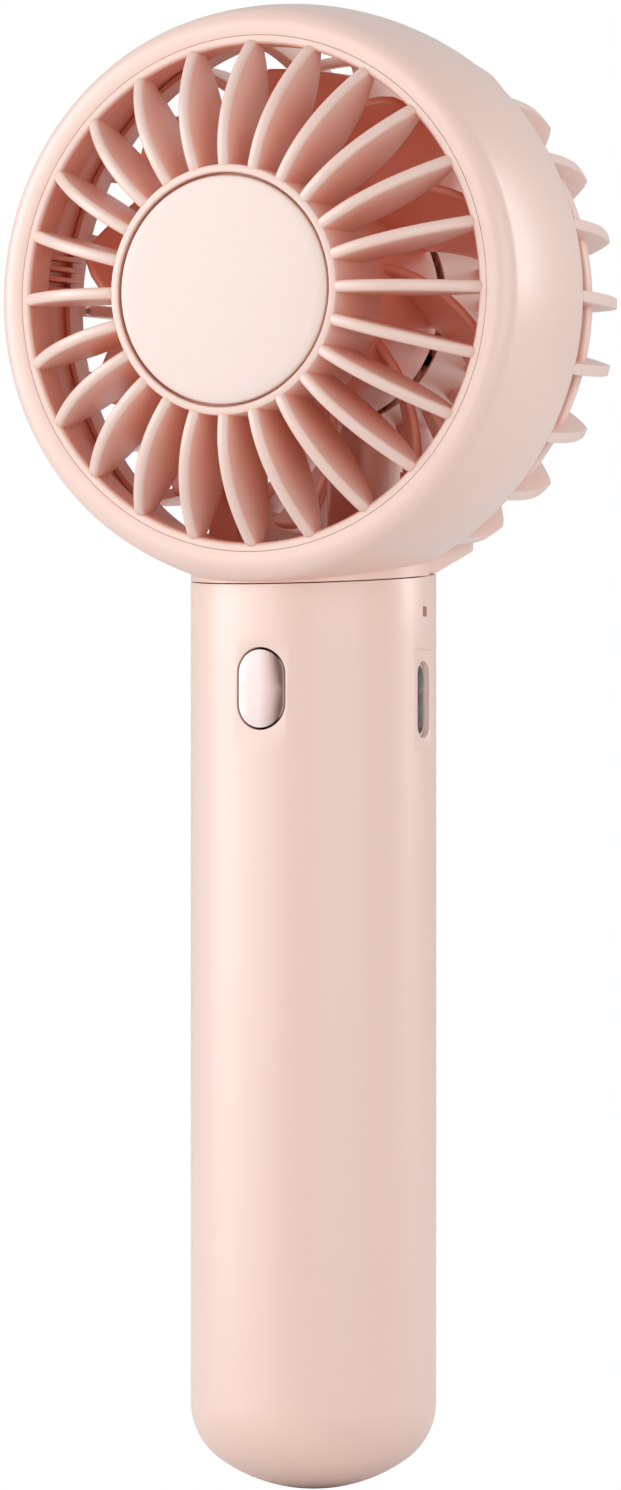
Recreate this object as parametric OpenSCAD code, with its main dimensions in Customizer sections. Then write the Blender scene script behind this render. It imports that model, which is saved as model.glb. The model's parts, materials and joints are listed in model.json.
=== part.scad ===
// Handheld electric fan: a straight round handle with a caged fan head on top.
// Millimetres. +Z runs up the handle, -Y is the side the air blows out of, +X is the charging side.
// The origin is on the handle's axis, at the lowest point of its rounded end.

/* [Handle] */
// Outside diameter of the handle
handle_d = 30; // [29.6:0.2:36]
// Wall of the handle
handle_wall = 2; // [1.6:0.1:2.4]
// Height of the joint between the handle and the head
handle_len = 111.2; // [110.4:0.2:140]
// Slope of that joint, in degrees
joint_rake = 4; // [0:0.5:6]
// Height of the handle's rounded end
end_h = 10.6; // [10:0.2:12]
// Radius of the rounded end's shoulder
shoulder_r = 8.5; // [7.5:0.1:9]
// Length of the neck's spigot inside the handle
spigot_len = 8; // [7:0.2:9]
// Wall of the spigot
spigot_wall = 1.8; // [1.5:0.1:2]

/* [Button] */
// Width of the button's slot
slot_w = 6.5; // [6:0.1:8]
// Height of the button's slot
slot_h = 10; // [9:0.1:12]
// Distance from the handle's joint down to the button's middle
button_drop = 13.6; // [13:0.2:15]
// Gap around the button
button_gap = 0.3; // [0.2:0.05:0.5]
// Travel of the button
button_travel = 0.4; // [0.2:0.05:0.6]

/* [Charging port] */
// Distance from the handle's joint down to the port's middle
port_drop = 14.9; // [14.4:0.1:15.4]
// Distance from the handle's joint down to the charge light
light_drop = 4.2; // [4:0.1:4.8]
// Side of the charge light's window
light_w = 1.2; // [1:0.1:1.6]

/* [Battery] */
// Diameter of the cell
cell_d = 18.4; // [14:0.2:19]
// Length of the cell
cell_len = 65; // [50:0.5:65]

/* [Head] */
// Largest outside diameter of the drum
head_d = 71.4; // [70:0.2:86]
// Radius of the crown across the drum's side
crown_r = 45; // [42:1:60]
// Reach of the drum in front of the handle's wall
drum_overhang = 2.5; // [2:0.1:4]
// Reach of the drum behind the handle's axis
drum_back = 1.5; // [1:0.1:2.5]
// Wall of the drum where it is widest
drum_wall = 2.1; // [1.9:0.1:2.2]
// Width of the rim around the air duct
rim_w = 5.8; // [5.4:0.1:6.6]
// Radius of the rim's outer edge
lip_r = 2.3; // [2:0.1:2.4]
// How far the drum sinks below the top of the handle
head_sink = 1.9; // [1.6:0.1:2.2]

/* [Grilles] */
// Number of ribs around each grille
rib_count = 24; // [18:1:28]
// Thickness of a rib
rib_t = 1.45; // [1:0.05:1.6]
// Diameter of the hub rings
hub_d = 30; // [25:0.2:36]
// Reach of the front grille's hub in front of the drum
grille_proud = 7.7; // [7.1:0.1:9.5]
// Wall of the hub rings
hub_wall = 1; // [0.8:0.1:1.2]
// Gap around a hub cap
cap_gap = 0.35; // [0.2:0.05:0.5]
// Height of a hub cap's dome
dome_h = 0.6; // [0.3:0.1:1]
// Width of the hoop that ties the rear ribs together
hoop_w = 1.8; // [1.4:0.1:2.4]

/* [Impeller] */
// Number of blades
blade_count = 10; // [5:1:12]
// Thickness of a blade
blade_t = 1.1; // [0.8:0.1:1.4]
// How far the blade tips stop inside the front ring
tip_gap = 2.1; // [1.6:0.1:5]
// How far each blade turns around the hub from back to front, in degrees
blade_wrap = 24; // [15:1:36]
// How far a blade's tip trails its root, in degrees
blade_sweep = 24; // [0:1:30]
// Angle of the first blade's front root corner, in degrees
blade_start = 86; // [0:1:120]

/* [Motor] */
// Diameter of the motor's shaft
shaft_d = 2; // [1.6:0.1:2.6]
// Number of stator teeth and coils
tooth_count = 9; // [6:3:12]
// Running gap between the magnet and the stator
air_gap = 0.4; // [0.3:0.05:0.6]

/* [Chin] */
// Half the width of the chin behind the neck
chin_half_w = 13.5; // [12:0.1:14]
// Reach of the chin behind the handle's axis
chin_back = 21.5; // [20:0.1:22.5]
// Slope of the chin's underside, in degrees
chin_rise = 15; // [12:0.5:18]

/* [Hidden] */
$fn = 96;

// colours
blush = [0.93, 0.80, 0.75];
blush_deep = [0.88, 0.70, 0.63];
steel = [0.75, 0.76, 0.78];
copper = [0.80, 0.45, 0.25];
black_plastic = [0.12, 0.12, 0.13];
white_plastic = [0.92, 0.92, 0.90];
board_green = [0.08, 0.35, 0.20];

// fits
fit = 0.1;           // between pieces that stay still
turn_gap = 0.04;     // around the shaft in its bushes
joint_gap = 0.15;    // line between the handle and the head
eps = 0.01;

// handle
handle_r = handle_d / 2;
bore_r = handle_r - handle_wall;
joint_slope = tan(joint_rake);
crown_ball_r = (pow(handle_r - shoulder_r, 2) + end_h * end_h - shoulder_r * shoulder_r)
    / (2 * (end_h - shoulder_r));
spigot_r = bore_r - fit;
passage_r = spigot_r - spigot_wall;
grip_top = handle_len - 4;           // the wall is straight up to here
neck_draft = 0.005;                  // then it narrows by this much for each millimetre
neck_h = 24;                         // from there to inside the drum
snap_h = 1;                          // height of the snap bead on the spigot
snap_out = 0.35;                     // how far the bead stands out
snap_z = handle_len - spigot_len + 1.6;

// button, switch and board
button_z = handle_len - button_drop;
port_z = handle_len - port_drop;
light_z = handle_len - light_drop;
board_t = 1;
board_y = -1.65;                     // rear face of the board
board_front_y = board_y - board_t;
board_top = handle_len - 2.4;
board_bottom = handle_len - 27.4;
board_half_w = bore_r - 1.8;
board_neck_half_w = passage_r - 0.6; // where the board reaches into the spigot
switch_w = 6;
switch_h = 3.5;
stem_r = 1.75;
stem_front_y = board_front_y - switch_h - 1.5;
cap_flange_t = 1;
cap_flange_w = 1.4;                  // added to both sides of the cap together
cap_flange_y = -sqrt(bore_r * bore_r - pow(slot_w / 2 + 1.2, 2)) + button_travel / 2;
port_w = 8.94;
port_t = 3.26;
port_depth = 7.35;
port_wall = 0.3;
tongue_w = 6.69;
tongue_t = 0.7;
tongue_start = 2;                    // the tongue stands this far out of the receptacle's back
port_flat_w = 5;                     // flat that the port's mouth lies in
port_flat_h = 12.3;
port_face_x = sqrt(handle_r * handle_r - pow(port_flat_w / 2, 2));
port_x = port_face_x - 0.6 - port_depth;
led_t = 0.8;
led_len = 1.6;

// cell and chassis
cell_r = cell_d / 2;
chassis_r = bore_r - 0.4;
chassis_t = 1.6;
chassis_in_r = chassis_r - chassis_t;
chassis_z = end_h + 1.4;
tab_t = 0.2;
cell_z = chassis_z + chassis_t + tab_t + 0.1;
divider_z = cell_z + cell_len + tab_t + 0.3;
chassis_top = handle_len - spigot_len - 0.4;
lug_t = 1.8;
post_y = 6;
post_r = 2.2;
post_head_r = 1.7;
post_x = sqrt(pow(chassis_in_r - post_head_r - 0.15, 2) - post_y * post_y);
screw_r = 0.9;
wire_r = 0.6;
lead_x = 0.75;                       // half the spacing of a pair of wires

// head: r is measured from the fan's axis and f forwards along it from the handle's axis
head_r = head_d / 2;
head_z = handle_len + head_r - head_sink;
duct_r = head_r - rim_w;
drum_front = handle_r + drum_overhang;
grille_reach = drum_front + grille_proud;    // the rear cage reaches as far back
crown_f = handle_r / 3;              // the drum is widest here
crown_c = head_r - crown_r;
lip_f = drum_front - lip_r;
lip_c = crown_c + sqrt(pow(crown_r - lip_r, 2) - pow(lip_f - crown_f, 2));
lip_a = asin((lip_f - crown_f) / (crown_r - lip_r));
back_a = asin((-drum_back - crown_f) / crown_r);
ring_r = duct_r + 1.0;               // outside of the front grille's ring
edge_r = 0.5;                        // rounding of the duct's front edge
seat_r = ring_r + fit;
seat_f = drum_front - 4.5;           // the ring's seat in the drum
step_r = seat_r - 0.6;               // the step that stops the ring
step_t = 1.2;
drum_bore_r = head_r - drum_wall;

// hubs
hub_r = hub_d / 2;
recess_d = 1.6;                      // depth that a hub cap sits in
ledge_t = 2;
ledge_w = 1.4;
skirt_len = 3;
cap_r = hub_r - hub_wall - cap_gap;
ledge_r = hub_r - hub_wall - ledge_w;
front_hub_back = 12.4;
rib_root = 0.5;                      // how far the ribs run into the hub rings
rib_sag = 0.9;                       // how far a front rib's outer edge bows back

// impeller and motor
spin_gap = 0.5;                      // between the impeller's hub and the front hub ring
imp_r = hub_r - 0.2;
imp_wall = 1.2;
imp_front = front_hub_back - spin_gap;
imp_back = -4.5;
blade_tip_r = duct_r - tip_gap;
blade_front = 10.8;
blade_back = -3.6;
bell_r = imp_r - imp_wall - 0.05;
bell_wall = 0.8;
bell_front = imp_front - imp_wall - fit;
bell_back = imp_back + 1.3;
magnet_out_r = bell_r - bell_wall - 0.05;
magnet_in_r = magnet_out_r - 1.8;
magnet_front = bell_front - bell_wall - 1.4;
magnet_back = bell_back + 0.8;
shaft_r = shaft_d / 2;
boss_r = shaft_r + 1.8;
bush_in_r = shaft_r + turn_gap;
bush_r = shaft_r + 1.5;
bush_len = 3;
tube_in_r = bush_r + 0.05;
tube_r = tube_in_r + 0.85;
tube_front = bell_front - bell_wall - 1.6;
tooth_tip_r = magnet_in_r - air_gap;
core_in_r = tube_r + 0.05;
core_ring_r = core_in_r + 1.8;
core_front = 6.4;
core_back = 0.6;
tooth_w = 1.6;
coil_t = 0.75;
motor_pcb_r = magnet_in_r - 0.1;
motor_pcb_f = -3.9;
motor_pcb_t = 0.8;
base_r = bell_r - bell_wall - 0.8;
base_front = -5.1;
base_t = 1.2;
cup_front = base_front - base_t - fit;     // front face of the rear hub's floor
cup_floor = 1.2;
tube_back = cup_front - cup_floor - 0.3;
clip_f = tube_back - 0.45;
clip_t = 0.5;
shaft_back = clip_f - clip_t - 0.75;
motor_screw_r = (base_r + tube_r) / 2 + 1.2;
motor_screw_count = 3;
lead_r = motor_screw_r - 0.8;              // where the motor's wires pass the rear hub's floor

// rear cage
cage_front = -drum_back - fit;
rim_t = 0.9;
cage_start_y = -cage_front;
rim_r = head_r - 1.5;                // outside of the rim behind the drum
cage_sleeve_r = drum_bore_r - fit;
cage_sleeve_in_r = cage_sleeve_r - 0.6;
cage_sleeve_len = 3;
hoop_front = -12;
hoop_r = head_r - 4.4;
hoop_t = 1.3;
fin_back_r = head_r - 3.7;           // reach of the ribs at their rear corners
comb_count = 4;
comb_w = 2.2;
comb_t = 0.6;
comb_low = 1.4;                      // height of the lowest bar above the fan's axis
comb_mid_r = drum_bore_r - 0.8;
comb_back = cage_front + cage_sleeve_len + 0.2;   // clear of the cage's sleeve
comb_pitch = 1.3;

// chin
chin_start = 6.5;
chin_corner_r = 5;
chin_in_r = head_r - 7.3;
spoke_w = 5.6;
spoke_front_y = 9;
spoke_back_y = 17;
spoke_wall = 1.2;
wire_y = (spoke_front_y + spoke_back_y) / 2;

// points along an arc, from angle a0 to a1 in n steps
function arc(cx, cy, r, a0, a1, n) =
    [for (i = [0:n]) let (a = a0 + (a1 - a0) * i / n) [cx + r * cos(a), cy + r * sin(a)]];

// points along the smooth curve that passes through three points
function bow(p, q, s, n) =
    [for (i = [0:n]) let (t = i / n)
        p * (1 - t) * (1 - 2 * t) + q * 4 * t * (1 - t) + s * t * (2 * t - 1)];

// height of the handle's joint at a distance y behind its axis
function joint_z(y) = handle_len + joint_slope * y;

// height of the chin's underside at y
function chin_z(y) = joint_z(chin_start) + tan(chin_rise) * (y - chin_start);

// places what is drawn around Z onto the fan's axis, with its +Z to the front
module on_axis() {
    translate([0, 0, head_z])
        rotate([90, 0, 0])
            children();
}

// half outline of the handle, drawn inwards by inset; draft narrows it above the straight wall
module handle_outline(inset, top, draft) {
    turn = atan2(end_h - crown_ball_r, handle_r - shoulder_r);
    polygon(concat(
        [[0, top]],
        arc(0, crown_ball_r, crown_ball_r - inset, -90, turn, 12),
        arc(handle_r - shoulder_r, end_h, shoulder_r - inset, turn, 0, 10),
        [[handle_r - inset, grip_top], [handle_r - inset - draft * (top - grip_top), top]]
    ));
}

// everything above the sloping joint
module above_joint(shift) {
    translate([0, 0, handle_len + shift])
        rotate([joint_rake, 0, 0])
            translate([-60, -60, 0])
                cube([120, 120, 120]);
}

// everything below the sloping joint
module below_joint(shift) {
    translate([0, 0, handle_len + shift])
        rotate([joint_rake, 0, 0])
            translate([-60, -60, -120])
                cube([120, 120, 120]);
}

// everything behind the drum that is above the sloping seat of the chin
module above_chin_seat(shift) {
    translate([-30, drum_back, chin_z(drum_back) + shift])
        rotate([chin_rise, 0, 0])
            translate([0, -10, 0])
                cube([60, 50, 60]);
}

// upright slot with round ends, drawn in XZ and centred on y = 0
module upright_slot(w, h, depth) {
    rotate([90, 0, 0])
        translate([0, 0, -depth / 2])
            linear_extrude(depth) {
                square([w, h - w], center = true);
                for (side = [-1, 1])
                    translate([0, side * (h - w) / 2])
                        circle(d = w);
            }
}

// flat ring around Z
module ring(outer, inner, h) {
    difference() {
        cylinder(r = outer, h = h);
        translate([0, 0, -1])
            cylinder(r = inner, h = h + 2);
    }
}

// section of the drum's solid rim and side, out to the crown
function drum_side() = concat(
    arc(crown_c, crown_f, crown_r, back_a, lip_a, 16),
    arc(lip_c, lip_f, lip_r, lip_a + 8, 90, 8),
    [[seat_r, drum_front]]
);

// the drum filled in, drawn inwards by inset
module drum_filled(inset) {
    rotate_extrude()
        polygon(concat(
            [[0, -drum_back + inset]],
            arc(crown_c, crown_f, crown_r - inset, back_a, lip_a, 16),
            [[lip_c, drum_front - inset], [0, drum_front - inset]]
        ));
}

module handle_shell() {
    color(blush)
    difference() {
        intersection() {
            difference() {
                rotate_extrude()
                    handle_outline(0, handle_len + 4, neck_draft);
                rotate_extrude()
                    handle_outline(handle_wall, handle_len + 5, 0);
            }
            below_joint(0);
        }
        on_axis()
            drum_filled(-fit);
        // groove that the spigot's bead snaps into
        translate([0, 0, snap_z - fit])
            cylinder(r = bore_r + snap_out, h = snap_h + 2 * fit);
        // button
        translate([0, -handle_r, button_z])
            upright_slot(slot_w, slot_h, 2 * handle_wall + 6);
        // charging port, in its shallow flat
        translate([port_face_x, -port_flat_w, port_z - port_flat_h / 2])
            cube([handle_r, 2 * port_flat_w, port_flat_h]);
        translate([handle_r, 0, port_z])
            rotate([0, 0, 90])
                upright_slot(port_t - 0.06 + 2 * fit, port_w + 4 * fit, 2 * handle_wall + 4);
        // charge light
        translate([bore_r - 1, -light_w / 2, light_z - light_w / 2])
            cube([handle_wall + 2, light_w, light_w]);
    }
}

module head_drum() {
    color(blush)
    difference() {
        union() {
            on_axis()
                rotate_extrude()
                    polygon(concat(
                        drum_side(),
                        [[seat_r, seat_f], [step_r, seat_f], [step_r, seat_f - step_t],
                         [drum_bore_r, seat_f - step_t - drum_bore_r + step_r], [drum_bore_r, -drum_back]]
                    ));
            // combs of short bars on the drum's inner wall
            for (side = [-1, 1], k = [0:comb_count - 1])
                on_axis()
                    translate([side * comb_mid_r - comb_w / 2, side * -0.3 + comb_low + k * comb_pitch,
                               comb_back])
                        cube([comb_w, comb_t, seat_f - step_t - 3 - comb_back]);
            // neck and spigot, outside the drum
            difference() {
                union() {
                    intersection() {
                        translate([0, 0, grip_top])
                            cylinder(r1 = handle_r, r2 = handle_r - neck_draft * neck_h, h = neck_h);
                        above_joint(joint_gap);
                    }
                    translate([0, 0, handle_len - spigot_len])
                        cylinder(r = spigot_r, h = spigot_len + 4);
                    translate([0, 0, snap_z])
                        cylinder(r = spigot_r + snap_out, h = snap_h);
                }
                on_axis()
                    drum_filled(drum_wall / 2);
                difference() {
                    translate([0, 0, handle_len - spigot_len - 1])
                        cylinder(r = passage_r, h = 24);
                    // bosses for the chassis screws
                    for (side = [-1, 1])
                        translate([side * post_x, post_y, handle_len - spigot_len])
                            cylinder(r = post_r, h = spigot_len - 2);
                }
                above_chin_seat(0);
            }
        }
        for (side = [-1, 1])
            translate([side * post_x, post_y, handle_len - spigot_len - 1])
                cylinder(r = screw_r, h = spigot_len - 1.5);
        // the light pipe passes the spigot
        translate([passage_r - 2, -light_w / 2 - fit, light_z - light_w / 2 - fit])
            cube([spigot_wall + 4, light_w + 2 * fit, light_w + 2 * fit]);
    }
}

// outline of a front rib in r and f
function rib_outline() =
    let (root = hub_r - rib_root, middle = (hub_r + duct_r) / 2, tip = duct_r + 0.4)
    concat(
        bow([root, grille_reach], [middle, grille_reach - rib_sag], [tip, drum_front + 0.2], 10),
        bow([tip, drum_front - 2.2], [middle, drum_front - 3.8], [root, drum_front + 0.3], 10)
    );

// outline of a rear rib, with f negative behind the handle's axis
function fin_outline() =
    let (root = hub_r - rib_root, back = -grille_reach, tip = fin_back_r, start = cage_front - 0.4)
    concat(
        // inner edge, from the drum past the hoop to the hub
        bow([rim_r - 1.1, start], [hoop_r + 0.6, hoop_front + 4.2], [hoop_r - 1.4, hoop_front], 8),
        bow([hoop_r - 2.3, hoop_front - 0.7], [(hub_r + hoop_r) / 2, hoop_front - 3],
            [root, hoop_front - 5], 6),
        // outer edge, from the hub around the rear corner to the drum
        bow([root, back], [(hub_r + tip) / 2, back + 0.4], [tip - 3, back + 2.3], 6),
        bow([tip - 1.5, back + 3.5], [tip - 0.5, back + 4.6], [tip, back + 6], 3),
        bow([tip + 0.5, back + 7.8], [rim_r - 0.5, hoop_front + 1], [rim_r - 0.1, start], 8)
    );

// one rib standing on the fan's axis at an angle
module rib(points, angle) {
    rotate([0, 0, angle])
        rotate([90, 0, 0])
            linear_extrude(rib_t, center = true)
                polygon(points);
}

// ring of a hub with a seat for its cap at the front, from back to front
module hub_ring(back, front) {
    rotate_extrude()
        polygon([
            [hub_r, back], [hub_r, front - 0.3], [hub_r - 0.3, front], [hub_r - hub_wall, front],
            [hub_r - hub_wall, front - recess_d], [ledge_r, front - recess_d],
            [ledge_r, front - recess_d - ledge_t],
            [hub_r - hub_wall, front - recess_d - ledge_t - ledge_w], [hub_r - hub_wall, back]
        ]);
}

module front_grille() {
    color(blush)
    on_axis() {
        // outer ring, with the inner edge of the rim
        rotate_extrude()
            polygon(concat(
                [[ring_r, seat_f], [ring_r, drum_front]],
                arc(duct_r + edge_r, drum_front - edge_r, edge_r, 90, 180, 5),
                [[duct_r, seat_f]]
            ));
        for (i = [0:rib_count - 1])
            rib(rib_outline(), i * 360 / rib_count);
        hub_ring(front_hub_back, grille_reach);
    }
}

// domed disc with a skirt that presses into a hub's ledge
module hub_disc() {
    ball_r = (cap_r * cap_r + dome_h * dome_h) / (2 * dome_h);
    rim_f = grille_reach - 0.1;
    rotate_extrude()
        polygon(concat(
            [[0, grille_reach - recess_d], [ledge_r - fit - 0.9, grille_reach - recess_d],
             [ledge_r - fit - 0.9, grille_reach - recess_d - skirt_len],
             [ledge_r - fit, grille_reach - recess_d - skirt_len],
             [ledge_r - fit, grille_reach - recess_d], [cap_r, grille_reach - recess_d],
             [cap_r, rim_f - 0.2]],
            arc(0, rim_f + dome_h - ball_r, ball_r, acos((cap_r - 0.2) / ball_r), 90, 10)
        ));
}

module hub_cap() {
    color(blush)
    on_axis()
        hub_disc();
}

module rear_hub_cap() {
    color(blush)
    on_axis()
        mirror([0, 0, 1])
            hub_disc();
}

// the chin: a block behind the neck with rounded rear corners, hollowed around the fan's axis
module chin_block() {
    difference() {
        intersection() {
            translate([0, 0, handle_len])
                linear_extrude(rim_w + 14) {
                    translate([-chin_half_w, drum_back + fit])
                        square([2 * chin_half_w, chin_back - chin_corner_r - drum_back - fit]);
                    translate([-chin_half_w + chin_corner_r, chin_back - chin_corner_r - eps])
                        square([2 * (chin_half_w - chin_corner_r), chin_corner_r + eps]);
                    for (side = [-1, 1])
                        translate([side * (chin_half_w - chin_corner_r), chin_back - chin_corner_r])
                            circle(r = chin_corner_r);
                }
            above_chin_seat(joint_gap);
            above_joint(joint_gap);
        }
        on_axis()
            translate([0, 0, -40])
                cylinder(r = chin_in_r, h = 60);
    }
}

module rear_grille() {
    color(blush_deep)
    difference() {
        union() {
            on_axis() {
                // sleeve inside the drum and the rim that closes the drum's mouth
                rotate_extrude()
                    polygon([
                        [cage_sleeve_in_r, cage_front + cage_sleeve_len],
                        [cage_sleeve_r, cage_front + cage_sleeve_len],
                        [cage_sleeve_r, cage_front], [rim_r, cage_front],
                        [rim_r - 0.4, cage_front - rim_t],
                        [cage_sleeve_in_r, cage_front - rim_t]
                    ]);
                translate([0, 0, hoop_front - hoop_w])
                    ring(hoop_r, hoop_r - hoop_t, hoop_w);
                mirror([0, 0, 1])
                    hub_ring(-cup_front, grille_reach);
                translate([0, 0, cup_front - cup_floor])
                    cylinder(r = hub_r - hub_wall / 2, h = cup_floor);
            }
            // ribs, cut off level with the chin's underside where they run into it
            difference() {
                on_axis()
                    for (i = [0:rib_count - 1])
                        rib(fin_outline(), i * 360 / rib_count);
                difference() {
                    translate([-chin_half_w, cage_start_y + 1.5, handle_len - 10])
                        cube([2 * chin_half_w, 40, 20]);
                    above_chin_seat(joint_gap + 0.05);
                }
            }
            chin_block();
            // hollow spoke that carries the motor's wires
            translate([-spoke_w / 2, spoke_front_y, handle_len + 5])
                cube([spoke_w, spoke_back_y - spoke_front_y, head_z - hub_r + 0.6 - handle_len - 5]);
        }
        // passage for the wires through the chin, the spoke and the hub's wall
        translate([-spoke_w / 2 + spoke_wall, spoke_front_y + spoke_wall, handle_len + 1.5])
            cube([spoke_w - 2 * spoke_wall, spoke_back_y - spoke_front_y - 2 * spoke_wall,
                  head_z - hub_r + 2 - handle_len - 1.5]);
        translate([-4, drum_back + 1.6, handle_len - 1])
            cube([8, 8, 5.8]);
        on_axis() {
            // the shaft's tube, screws and wires pass the hub's floor
            translate([0, 0, cup_front - cup_floor - 1])
                cylinder(r = tube_r + 0.2, h = cup_floor + 2);
            motor_screw_places()
                translate([0, 0, cup_front - cup_floor - 1])
                    cylinder(r = screw_r + 0.2, h = cup_floor + 2, $fn = 32);
            translate([0, -lead_r, cup_front - cup_floor - 1])
                cylinder(r = 1.6, h = cup_floor + 2, $fn = 32);
        }
    }
}

module motor_screw_places() {
    for (i = [0:motor_screw_count - 1])
        rotate([0, 0, 90 + i * 360 / motor_screw_count])
            translate([motor_screw_r, 0, 0])
                children();
}

module motor_base() {
    color(steel)
    on_axis()
        difference() {
            union() {
                translate([0, 0, base_front - base_t])
                    cylinder(r = base_r, h = base_t);
                translate([0, 0, tube_back])
                    cylinder(r = tube_r, h = tube_front - tube_back);
            }
            translate([0, 0, tube_back - 1])
                cylinder(r = tube_in_r, h = tube_front - tube_back + 2);
            motor_screw_places()
                translate([0, 0, base_front - base_t - 1])
                    cylinder(r = screw_r + 0.05, h = base_t + 2, $fn = 32);
            translate([0, -lead_r, base_front - base_t - 1])
                cylinder(r = 1.6, h = base_t + 2, $fn = 32);
        }
}

// pan-head screw along +Z: its head lies below z = 0
module pan_screw(head_r, head_h, len) {
    translate([0, 0, -head_h])
        difference() {
            cylinder(r = head_r, h = head_h, $fn = 32);
            // cross recess
            for (turn = [0, 90])
                rotate([0, 0, turn])
                    translate([-head_r * 0.6, -0.2, -1])
                        cube([head_r * 1.2, 0.4, 1 + head_h / 2]);
        }
    translate([0, 0, -eps])
        cylinder(r = screw_r - 0.05, h = len + eps, $fn = 32);
}

module motor_screws() {
    color(steel)
    on_axis()
        motor_screw_places()
            translate([0, 0, cup_front - cup_floor])
                pan_screw(1.8, 1.3, cup_floor + fit + base_t);
}

module shaft_bushes() {
    color(copper)
    on_axis()
        for (f = [tube_front - bush_len - 0.2, tube_back + 0.2])
            translate([0, 0, f])
                ring(bush_r, bush_in_r, bush_len);
}

module stator_core() {
    color(steel)
    on_axis()
        translate([0, 0, core_back]) {
            ring(core_ring_r, core_in_r, core_front - core_back);
            for (i = [0:tooth_count - 1])
                rotate([0, 0, i * 360 / tooth_count]) {
                    translate([core_ring_r - 0.4, -tooth_w / 2, 0])
                        cube([tooth_tip_r - core_ring_r, tooth_w, core_front - core_back]);
                    intersection() {
                        ring(tooth_tip_r, tooth_tip_r - 1, core_front - core_back);
                        translate([0, -tooth_tip_r * sin(150 / tooth_count), -1])
                            cube([tooth_tip_r + 1, 2 * tooth_tip_r * sin(150 / tooth_count), 20]);
                    }
                }
        }
}

module stator_windings() {
    inner = core_ring_r + 0.3;
    outer = tooth_tip_r - 1.2;
    slack = 0.05;
    high = core_front - core_back + 2 * slack;
    color(copper)
    on_axis()
        for (i = [0:tooth_count - 1])
            rotate([0, 0, i * 360 / tooth_count])
                translate([0, 0, core_back - slack])
                    difference() {
                        translate([inner, -tooth_w / 2 - coil_t, -coil_t - 0.3])
                            cube([outer - inner, tooth_w + 2 * coil_t, high + 2 * coil_t + 0.6]);
                        translate([inner - 1, -tooth_w / 2 - slack, 0])
                            cube([outer - inner + 2, tooth_w + 2 * slack, high]);
                    }
}

module motor_pcb() {
    color(board_green)
    on_axis()
        translate([0, 0, motor_pcb_f - motor_pcb_t]) {
            ring(motor_pcb_r, tube_r + 0.2, motor_pcb_t);
            // hall sensor and driver chip
            translate([magnet_in_r - 4.2, -1, motor_pcb_t - eps])
                cube([2.4, 2, 0.7]);
            translate([-8, -1.5, motor_pcb_t - eps])
                cube([3, 3, 0.9]);
        }
}

// eight-sided tube along a smooth curve through the points
module wire(points, r) {
    steps = 4;
    sides = 8;
    last = len(points) - 1;
    function at(i) = points[max(0, min(last, i))];
    function spline(i, t) = 0.5 * (2 * at(i) + (at(i + 1) - at(i - 1)) * t
        + (2 * at(i - 1) - 5 * at(i) + 4 * at(i + 1) - at(i + 2)) * t * t
        + (3 * at(i) - at(i - 1) - 3 * at(i + 1) + at(i + 2)) * t * t * t);
    path = concat([for (i = [0:last - 1], k = [0:steps - 1]) spline(i, k / steps)], [points[last]]);
    n = len(path);
    // every route stays near a plane of constant x, so x is a safe reference direction
    function along(i) = let (d = path[min(n - 1, i + 1)] - path[max(0, i - 1)]) d / norm(d);
    function side(i) = let (c = cross(along(i), [1, 0, 0])) c / norm(c);
    rings = [for (i = [0:n - 1], k = [0:sides - 1])
        let (u = side(i), v = cross(along(i), u), a = 360 * k / sides)
        path[i] + r * (u * cos(a) + v * sin(a))];
    faces = concat(
        [[for (k = [0:sides - 1]) k]],
        [[for (k = [sides - 1:-1:0]) (n - 1) * sides + k]],
        [for (i = [0:n - 2], k = [0:sides - 1])
            let (low = i * sides, high = (i + 1) * sides, next = (k + 1) % sides)
            [low + k, high + k, high + next, low + next]]
    );
    polyhedron(rings, faces);
}

// from the motor's board through the rear hub, the spoke, the chin and the neck to the main board
module motor_wires() {
    color("crimson")
    for (side = [-1, 1])
        wire([
            [side * lead_x, -motor_pcb_f + motor_pcb_t + 0.05, head_z - lead_r],
            [side * lead_x, -cup_front + cup_floor + 1, head_z - lead_r],
            [side * lead_x, wire_y - 1, head_z - lead_r - 2],
            [side * lead_x, wire_y, head_z - hub_r + 0.5],
            [side * lead_x, wire_y, head_z - hub_r - 6],
            [side * lead_x, wire_y, handle_len + 7.5],
            [side * lead_x, wire_y - 1, handle_len + 5],
            [side * lead_x, wire_y - 2.7, handle_len + 2.6],
            [side * lead_x, 8.2, handle_len - 1],
            [side * lead_x, 5.2, handle_len - 5],
            [side * lead_x, 1.6, handle_len - 7.4],
            [side * lead_x, 0.6, board_top - 7]
        ], wire_r);
}

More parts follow.
